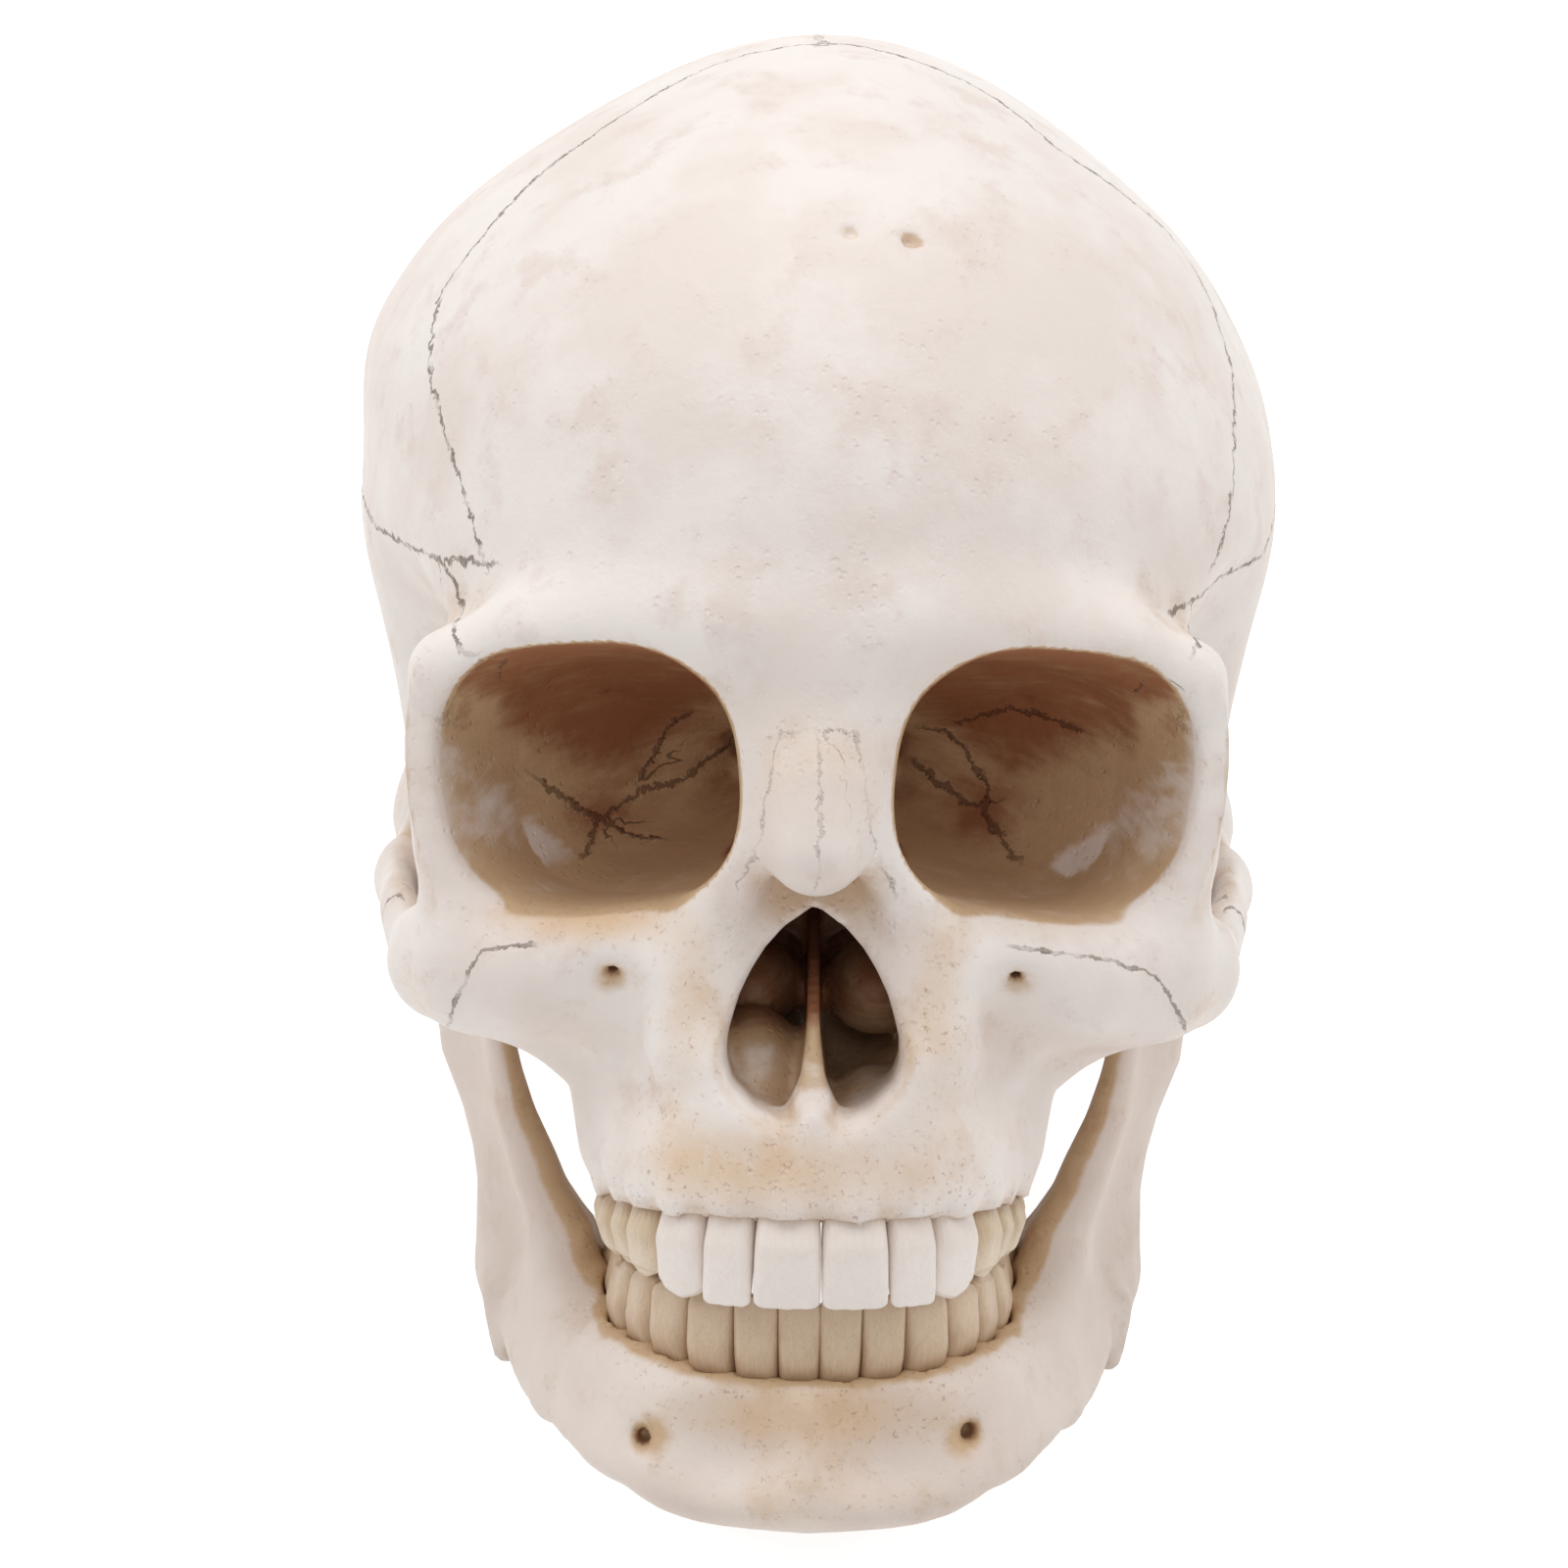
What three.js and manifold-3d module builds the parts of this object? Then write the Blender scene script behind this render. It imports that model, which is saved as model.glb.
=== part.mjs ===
// Anatomical skull model at life size: a hollow cranium, a sprung jaw and thirty-two set teeth.
// Skull axes: X to the skull's left, -Y to the front, Z up, origin midway between the ear openings.
// The finished group stands tilted back on its jaw angles and the back of its head.
import * as THREE from 'three';
import { mergeVertices } from 'three/addons/utils/BufferGeometryUtils.js';
import Module from 'manifold-3d';

const wasm = await Module();
wasm.setup();

// Braincase, millimetres
const cranialLength = 178;
const cranialBreadth = 137;
const vaultTop = 119;
const vaultBase = -29;
const vaultCentreY = -4;
const crownLean = 2.1;
const crownNarrowing = 0.18;
const templeNarrowing = 0.035;
const castWall = 5;
const foramenWidth = 30;
const foramenLength = 36;
const foramenY = 12;
const mastoidSpread = 53;
const mastoidTip = -30;
const earCanalDiameter = 6;

// Orbits and brow
const orbitWidth = 42.2;
const orbitHeight = 34.6;
const orbitSpread = 29.6;
const orbitLevel = 15.2;
const orbitForward = 78.5;
const orbitDepth = 42;
const orbitShell = 3;
const browForward = 88;
const browRadius = 6.2;

// Nose
const noseWidth = 25.4;
const noseTop = 0.5;
const noseFloor = -30.5;
const nasionForward = 93;
const nasalTipForward = 101;
const septumThickness = 2.4;

// Cheeks and upper jaw
const cheekBreadth = 125;
const cheekLevel = -12.5;
const cheekForward = 68.5;
const dentalWidth = 62;
const dentalDepth = 40;
const dentalCentreY = -57;
const archSquareness = 2.4;
const dentalShift = 1.4;
const upperGum = -44;
const palateHeight = 13;

// Lower jaw
const lowerGum = -69;
const chinLevel = -88;
const chinForward = 88;
const jawBreadth = 93;
const jawAngleLevel = -66;
const jawBodyThickness = 12.6;
const ramusBack = -10.5;
const ramusWidth = 33;
const ramusThickness = 6.6;
const lowerDentalWidth = 49.4;
const coronoidTop = -7;

// Jaw joint
const hingeSpread = 49;
const hingeY = -14;
const hingeZ = -4;
const condyleLength = 17;
const condyleRadius = 4.6;
const jointClearance = 0.5;

// Teeth
const toothClearance = 0.3;
const occlusalLevel = -54.6;
const overbite = 2;
const rootLength = 6;

// Jaw springs and their posts
const springDiameter = 5;
const springWire = 1.1;
const springTurns = 12;
const springSpread = 54.2;
const upperPostY = -38;
const upperPostZ = 21;
const lowerPostY = -36.5;
const lowerPostZ = -17;
const postNeckRadius = 1.5;
const postHeadRadius = 2.4;
const postHeadThickness = 1.4;
const postDepth = 4;
const postClearance = 0.3;

// Resting flats and fineness of the surfaces
const restFlatDepth = 0.6;
const gridStep = 1.8;
const craniumFacets = 5500;
const mandibleFacets = 1900;

const clamp = (value, low, high) => Math.min(Math.max(value, low), high);
const lerp = (a, b, t) => a + (b - a) * t;
const smooth = (t) => clamp(t, 0, 1) ** 2 * (3 - 2 * clamp(t, 0, 1));
const norm = (a, b, c = 0) => Math.sqrt(a * a + b * b + c * c);

// Smooth joins of two distances; blend is the width of the fillet
function join(a, b, blend) {
  const near = Math.max(blend - Math.abs(a - b), 0) / blend;
  return Math.min(a, b) - near * near * blend / 4;
}

function cut(a, b, blend) {
  return -join(-a, b, blend);
}

function overlap(a, b, blend) {
  return -join(-a, -b, blend);
}

// Distance to an ellipsoid turned by yaw degrees about Z
function ellipsoid([cx, cy, cz], [rx, ry, rz], yaw = 0) {
  const c = Math.cos(yaw * Math.PI / 180);
  const s = Math.sin(yaw * Math.PI / 180);
  return (x, y, z) => {
    const dx = (x - cx) * c + (y - cy) * s;
    const dy = (y - cy) * c - (x - cx) * s;
    const dz = z - cz;
    const k0 = norm(dx / rx, dy / ry, dz / rz) + 1e-6;
    const k1 = norm(dx / rx ** 2, dy / ry ** 2, dz / rz ** 2) + 1e-9;
    return k0 * (k0 - 1) / k1;
  };
}

// Distance to a chain of tapered rods through [x, y, z, radius] stops; flat thins it along X
function rods(stops, flat = 1) {
  return (x, y, z) => {
    let best = Infinity;
    for (let i = 0; i + 1 < stops.length; i++) {
      const [ax, ay, az, ra] = stops[i];
      const [bx, by, bz, rb] = stops[i + 1];
      const ux = (bx - ax) * flat;
      const uy = by - ay;
      const uz = bz - az;
      const px = (x - ax) * flat;
      const py = y - ay;
      const pz = z - az;
      const t = clamp((px * ux + py * uy + pz * uz) / (ux * ux + uy * uy + uz * uz), 0, 1);
      const d = norm(px - t * ux, py - t * uy, pz - t * uz) - lerp(ra, rb, t);
      best = Math.min(best, d);
    }
    return best / flat;
  };
}

// Value at t of a table of [t, value] pairs, straight between them
function along(table, t) {
  let i = 1;
  while (i < table.length - 1 && t > table[i][0]) {
    i++;
  }
  const [t0, v0] = table[i - 1];
  const [t1, v1] = table[i];
  return lerp(v0, v1, clamp((t - t0) / (t1 - t0), 0, 1));
}

// Signed distance in a plane to a closed outline of [u, v] points
function outline(points) {
  return (u, v) => {
    let nearest = Infinity;
    let inside = false;
    for (let i = 0; i < points.length; i++) {
      const [au, av] = points[i];
      const [bu, bv] = points[(i + 1) % points.length];
      const eu = bu - au;
      const ev = bv - av;
      const t = clamp(((u - au) * eu + (v - av) * ev) / (eu * eu + ev * ev), 0, 1);
      nearest = Math.min(nearest, norm(u - au - t * eu, v - av - t * ev));
      if ((av > v) !== (bv > v) && u < eu * (v - av) / ev + au) {
        inside = !inside;
      }
    }
    return inside ? -nearest : nearest;
  };
}

// Landmarks that follow from the driving sizes
const vaultHalf = (vaultTop - vaultBase) / 2;
const vaultMid = (vaultTop + vaultBase) / 2;
const sideHalf = cranialBreadth / 2;
const rimTop = orbitLevel + orbitHeight / 2;
const rimOuter = orbitSpread + orbitWidth / 2;
const rimInner = orbitSpread - orbitWidth / 2;
const archHalf = cheekBreadth / 2;
const dentalHalf = dentalWidth / 2;
const noseHalf = noseWidth / 2;
const noseWide = noseFloor + noseHalf;
const jawHalf = jawBreadth / 2;

// Braincase forms: main vault, forehead, parietal bosses, occiput and lower rear fossae
const vaultMain = ellipsoid([0, vaultCentreY, vaultMid], [sideHalf, cranialLength / 2, vaultHalf]);
const forehead = ellipsoid([0, vaultCentreY - 38, vaultMid + 1], [50, browForward - 42.5, 54]);
const parietal = ellipsoid([sideHalf - 32.7, vaultCentreY + 30, vaultMid + 15], [30, 42, 31]);
const occiput = ellipsoid([0, vaultCentreY + cranialLength / 2 - 33, vaultMid - 13], [44, 34, 34]);
const rearFossa = ellipsoid([0, vaultCentreY + 42, vaultBase + 33], [48, 38, 34]);

// The braincase is drawn in at the temples and at the crown
function vault(sideX, y, z) {
  const level = (z - vaultMid) / vaultHalf;
  const temple = templeNarrowing * smooth((0.07 - level) / 0.3);
  const boss = 0.022 * smooth((level - 0.01) / 0.38);
  const crown = crownNarrowing * smooth((level - 0.54) / 0.51);
  const x = sideX / (1 - temple + boss - crown);
  let d = vaultMain(x, y, z);
  d = join(d, rearFossa(x, y, z), 20);
  d = join(d, occiput(x, y, z), 20);
  d = join(d, forehead(x, y, z), 14);
  return join(d, parietal(x, y, z), 12);
}

// Outside of the skull, for x of zero or more
const templeHollow = ellipsoid([archHalf + 8, -47, -2], [29.5, 31, 46]);
const lowerHollow = ellipsoid([archHalf - 10, -42, -34], [26, 34, 30]);
const earWall = ellipsoid([48, 4, 4], [13, 30, 20]);
const mastoid = rods([
  [mastoidSpread, 14, -2, 11.5],
  [mastoidSpread, 14.5, mastoidTip + 14, 8.5],
  [mastoidSpread - 1.5, 14, mastoidTip + 5.5, 5.5],
]);
const brow = rods([
  [0, -(browForward - 0.5), rimTop + 3.2, browRadius + 1.3],
  [rimInner + 4, -browForward, rimTop + 5, browRadius + 0.6],
  [orbitSpread - 1.4, -(browForward - 4.5), rimTop + 5, browRadius - 0.8],
  [rimOuter - 9, -(orbitForward + 0.5), rimTop + 3, browRadius - 1.2],
  [rimOuter + 0.8, -(orbitForward - 7.5), rimTop - 3, browRadius - 1.4],
]);
const outerFrame = rods([
  [rimOuter + 0.8, -(orbitForward - 7.5), rimTop - 3, 4.6],
  [rimOuter + 1.7, -(orbitForward - 10), orbitLevel + 0.8, 4.1],
  [rimOuter + 0.7, -(orbitForward - 9.5), orbitLevel - 11, 4.8],
  [rimOuter - 1.8, -(orbitForward - 8.5), cheekLevel + 6.5, 5.6],
]);
const orbitWall = ellipsoid([rimOuter - 6.8, -(orbitForward - 20.5), orbitLevel - 1], [4.5, 17, 21], 36);
const cheek = rods([
  [24, -(cheekForward + 6.5), cheekLevel + 1, 11.5],
  [38, -(cheekForward + 5), cheekLevel + 1, 10.4],
  [archHalf - 15.5, -cheekForward, cheekLevel, 9.4],
  [archHalf - 9.5, -(cheekForward - 6.5), cheekLevel - 0.5, 7.2],
]);
const maxilla = ellipsoid([0, dentalCentreY - 7, -14], [dentalHalf, 23, 25]);
const cheekCrest = rods([
  [archHalf - 19.5, -(cheekForward - 2), cheekLevel - 4, 4.8],
  [dentalHalf - 0.5, -(cheekForward - 2.5), cheekLevel - 15, 4.4],
  [dentalHalf - 3, -(cheekForward - 4.5), upperGum + 7, 4.8],
]);
const canineHollow = ellipsoid([dentalHalf - 3.5, -(cheekForward + 20), cheekLevel - 9], [7, 8, 10]);
const bridge = rods([
  [0, -(nasionForward - 7), orbitLevel + 13, 8.6],
  [0, -(nasionForward - 1.5), orbitLevel + 1, 7.6],
  [0, -(nasalTipForward - 7), noseTop + 7.5, 6.8],
]);
const noseSide = rods([
  [rimInner - 3, -(nasionForward - 6.5), orbitLevel + 9, 4.8],
  [rimInner, -(nasionForward - 5.5), orbitLevel - 5, 4.6],
  [noseHalf + 2.6, -(nasionForward - 8), noseTop - 5, 4.8],
  [noseHalf + 4.8, -(nasionForward - 8.5), noseWide - 3, 5],
]);
const cheekArch = rods([
  [archHalf - 10.5, -(cheekForward - 4.5), cheekLevel - 0.5, 6.5],
  [archHalf - 5, -54, cheekLevel, 6],
  [archHalf - 2, -42, cheekLevel + 4.5, 4.8],
  [archHalf - 1.2, -28, cheekLevel + 6.5, 4.6],
  [archHalf - 2.3, hingeY, hingeZ + 1, 4.2],
  [archHalf - 6, hingeY + 13, hingeZ + 2.5, 4.2],
], 1.8);
const pterygoid = rods([
  [20, -44, -8, 5],
  [21.5, -42, -24, 4.2],
  [22.5, -40.5, -40, 3.2],
], 1.6);
const skullBase = rods([[0, -40, -6, 13], [0, foramenY - 22, vaultBase + 12, 11]]);
const neckCondyle = ellipsoid([foramenWidth / 2 + 2.5, foramenY - 11, vaultBase + 4], [6.5, 11.5, 6], -28);
const jointTubercle = rods([[archHalf - 2.5, hingeY - 11, -6, 4], [44, hingeY - 12, -5, 4.5]]);
const occipitalKnob = rods([[0, 74, 0, 6], [0, 79, 1, 4.5]]);

// Squared arch in plan: 1 on the arch of the given half width and depth
function archReach(x, y, halfWidth, depth) {
  const across = Math.abs(x / halfWidth) ** archSquareness;
  const lengthwise = Math.abs((y - dentalCentreY) / depth) ** archSquareness;
  return (across + lengthwise) ** (1 / archSquareness);
}

// Gum ridge of the upper jaw: an arch that narrows a little towards the teeth
function upperRidge(x, y, z) {
  const reach = archReach(x, y, dentalHalf, dentalDepth);
  const side = (reach - 1) * (dentalHalf + 1) + 0.06 * Math.max(z - upperGum - 4, -6);
  const level = Math.abs(z - upperGum - 12) - 12.5;
  return overlap(overlap(side, level, 5), y - dentalCentreY - 17, 6);
}

function craniumOutside(x, y, z) {
  let d = vault(x, y, z);
  d = cut(d, templeHollow(x, y, z), 9);
  d = cut(d, lowerHollow(x, y, z), 12);
  d = join(d, earWall(x, y, z), 12);
  d = join(d, mastoid(x, y, z), 8);
  d = join(d, occipitalKnob(x, y, z), 8);
  d = join(d, brow(x, y, z), 12);
  d = join(d, outerFrame(x, y, z), 5);
  d = join(d, orbitWall(x, y, z), 6);
  d = join(d, cheek(x, y, z), 7);
  d = join(d, maxilla(x, y, z), 9);
  d = join(d, cheekCrest(x, y, z), 7);
  d = join(d, upperRidge(x, y, z), 6);
  d = cut(d, canineHollow(x, y, z), 7);
  d = join(d, bridge(x, y, z), 6);
  d = join(d, noseSide(x, y, z), 6);
  d = join(d, cheekArch(x, y, z), 5);
  d = join(d, pterygoid(x, y, z), 5);
  d = join(d, skullBase(x, y, z), 10);
  d = join(d, neckCondyle(x, y, z), 5);
  return join(d, jointTubercle(x, y, z), 5);
}

// Orbit: a four-cornered funnel from its apex to the rim
const orbitApex = new THREE.Vector3(rimInner + 1.5, -(orbitForward - orbitDepth + 3), orbitLevel - 2);
const orbitRim = new THREE.Vector3(orbitSpread, -orbitForward, orbitLevel);
const orbitAxis = orbitRim.clone().sub(orbitApex);
const orbitReach = orbitAxis.length();
const orbitDroop = 7 * Math.PI / 180;
const orbitCorner = 2.8;
const orbitSpan = [
  [-0.1, 0.05], [0, 0.16], [0.25, 0.48], [0.5, 0.74], [0.75, 0.95], [0.93, 1], [1.6, 1.22],
];
orbitAxis.normalize();

function orbit(x, y, z) {
  const dx = x - orbitApex.x;
  const dy = y - orbitApex.y;
  const dz = z - orbitApex.z;
  const run = dx * orbitAxis.x + dy * orbitAxis.y + dz * orbitAxis.z;
  const t = run / orbitReach;
  const flat = norm(orbitAxis.x, orbitAxis.y);
  const sideways = (dy * orbitAxis.x - dx * orbitAxis.y) / flat;
  const upwards = dz - run * orbitAxis.z;
  const side = Math.cos(orbitDroop) * sideways - Math.sin(orbitDroop) * upwards;
  const up = Math.sin(orbitDroop) * sideways + Math.cos(orbitDroop) * upwards;
  const span = along(orbitSpan, t);
  const halfWidth = orbitWidth / 2 * span;
  const halfHeight = orbitHeight / 2 * span;
  const reach = (Math.abs(side / halfWidth) ** orbitCorner + Math.abs(up / halfHeight) ** orbitCorner);
  const d = (reach ** (1 / orbitCorner) - 1) * Math.min(halfWidth, halfHeight);
  return Math.max(d, -0.02 * orbitReach - run);
}

// Nose: a mouth that rises to a point, the chamber behind it and its two rear passages
const noseEdge = [
  [0.32, 0.848], [0.535, 0.752], [0.69, 0.652], [0.81, 0.548], [0.88, 0.452],
  [0.94, 0.352], [0.945, 0.255], [0.87, 0.155], [0.61, 0.058], [0.25, 0.006],
];
const noseEdgeBack = noseEdge.map(([u, v]) => [-u, v]).reverse();
const noseMouth = outline([[0, 0.935], ...noseEdge, ...noseEdgeBack].map(([u, v]) => (
  [u * noseHalf, lerp(noseFloor, noseTop, v)])));
const noseChamber = ellipsoid([0, -(nasionForward - 27), -10], [noseHalf + 2.5, 22, 19]);
const nosePassage = rods([
  [noseHalf / 2, -(nasionForward - 25), noseWide - 2.5, 8],
  [noseHalf / 2 + 1.5, -36, noseWide + 1.5, 7],
]);
const nasalSpine = rods([
  [0, -(nasionForward - 5), noseFloor + 0.5, 3],
  [0, -(nasionForward + 3), noseFloor + 2.4, 1.7],
]);
const conchae = [
  rods([[noseHalf, -(nasionForward - 13), noseWide - 1, 3.6], [noseHalf - 1, -52, noseWide, 3.6]]),
  rods([[noseHalf - 3.2, -(nasionForward - 15), -3, 2.8], [noseHalf - 4, -52, -4, 3.2]]),
];

function nose(x, y, z) {
  const d = join(Math.max(noseMouth(x, z), y + nasionForward - 31), noseChamber(x, y, z), 3);
  return join(d, nosePassage(x, y, z), 3);
}

function noseFittings(x, y, z) {
  const front = -(nasionForward - 9) + 0.5 * clamp(z + 12, -16, 0) + 1.4 * Math.max(z + 15, 0);
  const plate = overlap(Math.abs(x) - septumThickness / 2, Math.abs(z + 9) - 22, 1);
  let d = overlap(plate, Math.max(front - y, y + 40), 1);
  for (const concha of conchae) {
    d = join(d, concha(x, y, z), 2);
  }
  const limit = Math.max(x - noseHalf - 4, z - orbitLevel, noseFloor - 3 - z);
  return Math.max(d, limit);
}

const palate = ellipsoid(
  [0, dentalCentreY - 5, upperGum - 3],
  [dentalHalf - 11, dentalDepth - 11, palateHeight],
);
const jointHollow = ellipsoid(
  [hingeSpread, hingeY - 1, hingeZ - 5],
  [condyleLength / 2 + 3, condyleRadius + 4, condyleRadius + 4.5],
);
const neckSwing = ellipsoid([hingeSpread, hingeY + 1.5, hingeZ - 14], [condyleLength / 2 + 3, 10, 10]);
const orbitFissure = rods([
  [rimInner + 15, -(orbitForward - 30), orbitLevel - 8, 1.7],
  [rimInner + 21, -(orbitForward - 24), orbitLevel - 10.5, 2.1],
  [rimInner + 27, -(orbitForward - 18), orbitLevel - 13.5, 2.3],
]);
const earCanal = rods([
  [archHalf + 10, 2, -2, earCanalDiameter / 2 + 0.6],
  [archHalf - 16, 0, 0, earCanalDiameter / 2],
]);

function foramenMagnum(x, y, z) {
  const reach = norm(x / (foramenWidth / 2), (y - foramenY) / (foramenLength / 2));
  return Math.max((reach - 1) * foramenWidth / 2, Math.abs(z - vaultBase - 4) - 18);
}

function cranium(sideX, y, z) {
  const level = (z - vaultMid) / vaultHalf;
  const lean = crownLean * smooth((level - 0.12) / 0.32) * smooth((0.99 - level) / 0.35);
  const x = Math.abs(sideX + lean);
  const eye = orbit(x, y, z);
  const funnel = Math.max(eye - orbitShell, y + orbitForward - orbitDepth - 5, -orbitForward + 4 - y);
  const outside = join(craniumOutside(x, y, z), funnel, 4);
  const nasal = nose(x, y, z);
  const ear = earCanal(x, y, z);
  let d = cut(outside, eye, 2);
  d = cut(d, nasal, 1.5);
  d = cut(d, palate(x, y, z), 3);
  d = cut(d, ear, 2);
  d = cut(d, jointHollow(x, y, z), 3);
  d = cut(d, neckSwing(x, y, z), 3);
  d = cut(d, orbitFissure(x, y, z), 1);
  d = join(d, noseFittings(x, y, z), 1.5);
  d = join(d, nasalSpine(x, y, z), 2);
  const keep = Math.min(eye, nasal, ear, norm(x - hingeSpread, y - hingeY, z - hingeZ) - 9);
  const hollow = overlap(Math.max(vault(x, y, z), outside) + castWall, castWall - keep, 4);
  d = cut(d, hollow, 3);
  return cut(d, foramenMagnum(x, y, z), 4);
}

// Lower jaw: a curved body that carries the teeth, and two thin upright branches
const bodyEnd = jawHalf - 3;
const bodyLine = Array.from({ length: 15 }, (_, i) => {
  const share = i / 14;
  return [bodyEnd * share, -chinForward + (chinForward - 20.5) * share ** 2.9];
});
const bodyLean = [[0, 0.1], [0.45, 0.25], [0.75, 0.35], [1, 0.1]];
const bodyTop = [
  [0, lowerGum + 1],
  [0.3, lowerGum + 2.5],
  [0.62, lowerGum + 4],
  [0.92, lowerGum + 5.5],
  [1, lowerGum + 16],
];
const lowerHalf = lowerDentalWidth / 2;
const lowerDepth = chinForward + dentalCentreY;
const lowerSplay = 0.1;
const lowerGumLine = [
  [-chinForward, lowerGum + 1],
  [-chinForward + 8, lowerGum + 3.2],
  [dentalCentreY, lowerGum + 5],
  [dentalCentreY + 10, lowerGum + 8.5],
  [dentalCentreY + 17, lowerGum + 11],
];
const bodyLow = [
  [0, chinLevel + 0.6],
  [0.3, chinLevel + 1.9],
  [0.56, chinLevel + 4.8],
  [0.8, chinLevel + 9],
  [0.93, jawAngleLevel - 7.5],
  [1, jawAngleLevel - 4],
];
const chinPoint = ellipsoid([0, -(chinForward + 0.5), chinLevel + 8], [13, 7.5, 7.5]);
const chinCorner = ellipsoid([13, -(chinForward - 1), chinLevel + 6], [8, 5.5, 4.5]);
const ramusFront = ramusBack - ramusWidth;
const ramusOutline = outline([
  [ramusBack - 2.5, jawAngleLevel + 4],
  [ramusBack + 0.5, jawAngleLevel + 16],
  [ramusBack, hingeZ - 32],
  [ramusBack, hingeZ - 16],
  [ramusBack + 0.5, hingeZ - 2],
  [hingeY - 3.5, hingeZ - 2],
  [hingeY - 6, hingeZ - 12],
  [hingeY - 12, hingeZ - 16],
  [ramusFront + 10, coronoidTop - 10],
  [ramusFront + 6.5, coronoidTop - 2],
  [ramusFront + 2.5, coronoidTop + 1],
  [ramusFront, coronoidTop - 4],
  [ramusFront - 0.5, coronoidTop - 15],
  [ramusFront + 1, coronoidTop - 29],
  [ramusFront - 1.5, coronoidTop - 38],
  [ramusFront - 9.5, lowerGum + 13],
  [ramusFront - 18.5, lowerGum + 5],
  [ramusFront - 18.5, chinLevel + 9],
  [ramusFront - 4, chinLevel + 10.5],
  [ramusFront + 10, jawAngleLevel - 7.5],
  [ramusBack - 13, jawAngleLevel - 5],
  [ramusBack - 6, jawAngleLevel - 2],
]);
const jawNeck = rods([
  [hingeSpread - 1.5, hingeY - 1, hingeZ - 16, 3.9],
  [hingeSpread, hingeY, hingeZ - 3, 3.9],
]);

// Signed sideways distance in plan from the body's middle line, and the share of its length there
function bodyPlace(x, y) {
  let nearest = Infinity;
  let offset = 0;
  let share = 0;
  for (let i = 0; i + 1 < bodyLine.length; i++) {
    const [ax, ay] = bodyLine[i];
    const ux = bodyLine[i + 1][0] - ax;
    const uy = bodyLine[i + 1][1] - ay;
    const t = clamp(((x - ax) * ux + (y - ay) * uy) / (ux * ux + uy * uy), 0, 1);
    const dx = x - ax - t * ux;
    const dy = y - ay - t * uy;
    const d = norm(dx, dy);
    if (d < nearest) {
      nearest = d;
      offset = ux * dy - uy * dx < 0 ? -d : d;
      share = (i + t) / (bodyLine.length - 1);
    }
  }
  return [offset, share];
}

function jawBody(x, y, z) {
  const [offset, share] = bodyPlace(x, y);
  const top = along(bodyTop, share);
  const low = along(bodyLow, share);
  const half = jawBodyThickness / 2 - 1.8 * clamp((share - 0.75) / 0.25, 0, 1);
  const middle = (top + low) / 2;
  const lean = along(bodyLean, share) * (z - middle);
  const edge = 4;
  const dx = Math.abs(offset - lean) - (half - edge);
  const dz = Math.abs(z - middle) - ((top - low) / 2 - edge);
  return norm(Math.max(dx, 0), Math.max(dz, 0)) + Math.min(Math.max(dx, dz), 0) - edge;
}

// Gum ridge of the lower jaw, which carries the back teeth inside the line of the branches
function lowerRidge(x, y, z) {
  const behind = Math.max(y - dentalCentreY, 0);
  const reach = archReach(x - lowerSplay * behind, Math.min(y, dentalCentreY), lowerHalf, lowerDepth);
  const top = along(lowerGumLine, y);
  const middle = (top + chinLevel + 7) / 2;
  const level = Math.abs(z - middle) - (top - middle);
  const side = Math.abs(reach - 1) * lowerHalf - 5.2;
  return overlap(overlap(side, level, 4), y - dentalCentreY - 21, 5);
}

// Sideways places of the branch by level: its rear plate leans out to the hinge, its front edge turns in
const rearLean = [
  [-0.1, -0.35], [0.02, 0], [0.26, 0.02], [0.32, 0.09], [0.42, 0.3],
  [0.55, 0.66], [0.63, 0.83], [0.82, 0.9], [1, 1],
];
const frontInset = [
  [0.1, 8], [0.2, 7.7], [0.29, 4.9], [0.355, 3.5], [0.45, 1.1], [0.55, -0.3], [0.63, -1.2], [0.82, -1.8],
];
const frontHalf = [[0.2, 1.5], [0.29, 1.2], [0.45, 1], [0.55, 0.8], [0.63, 0.7], [0.9, 0.6]];

function ramus(x, y, z) {
  const lift = (z - jawAngleLevel) / (hingeZ - jawAngleLevel);
  const low = jawHalf - 2;
  const turn = smooth((hingeY - 8 - y) / 18);
  const sweep = 5 * clamp((-y - 40) / 20, 0, 1) ** 2;
  const rear = low + (hingeSpread + 3 - low) * along(rearLean, lift);
  const middle = lerp(rear, low - along(frontInset, lift) - sweep, turn);
  const rearHalf = 1 + 0.35 * smooth((0.2 - lift) / 0.2);
  const half = ramusThickness / 2 * lerp(rearHalf, along(frontHalf, lift), turn);
  return overlap(ramusOutline(y, z) + 1, Math.abs(x - middle) - half, 4);
}

function mandible(sideX, y, z) {
  const x = Math.abs(sideX);
  let d = join(jawBody(x, y, z), lowerRidge(x, y, z), 5);
  d = join(d, join(chinPoint(x, y, z), chinCorner(x, y, z), 6), 6);
  d = join(d, ramus(x, y, z), 7);
  return join(d, jawNeck(x, y, z), 4);
}

// Closed surface of a distance field, from six tetrahedra in each grid cell
const axisOrders = [[1, 2, 4], [2, 4, 1], [4, 1, 2], [2, 1, 4], [1, 4, 2], [4, 2, 1]];
const tetrahedra = axisOrders.map(([a, b], order) => ({ corners: [0, a, a | b, 7], mirrored: order > 2 }));

function isOdd(order) {
  let swaps = 0;
  for (let i = 0; i < order.length; i++) {
    for (let j = i + 1; j < order.length; j++) {
      swaps += order[i] > order[j] ? 1 : 0;
    }
  }
  return swaps % 2 === 1;
}

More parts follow.
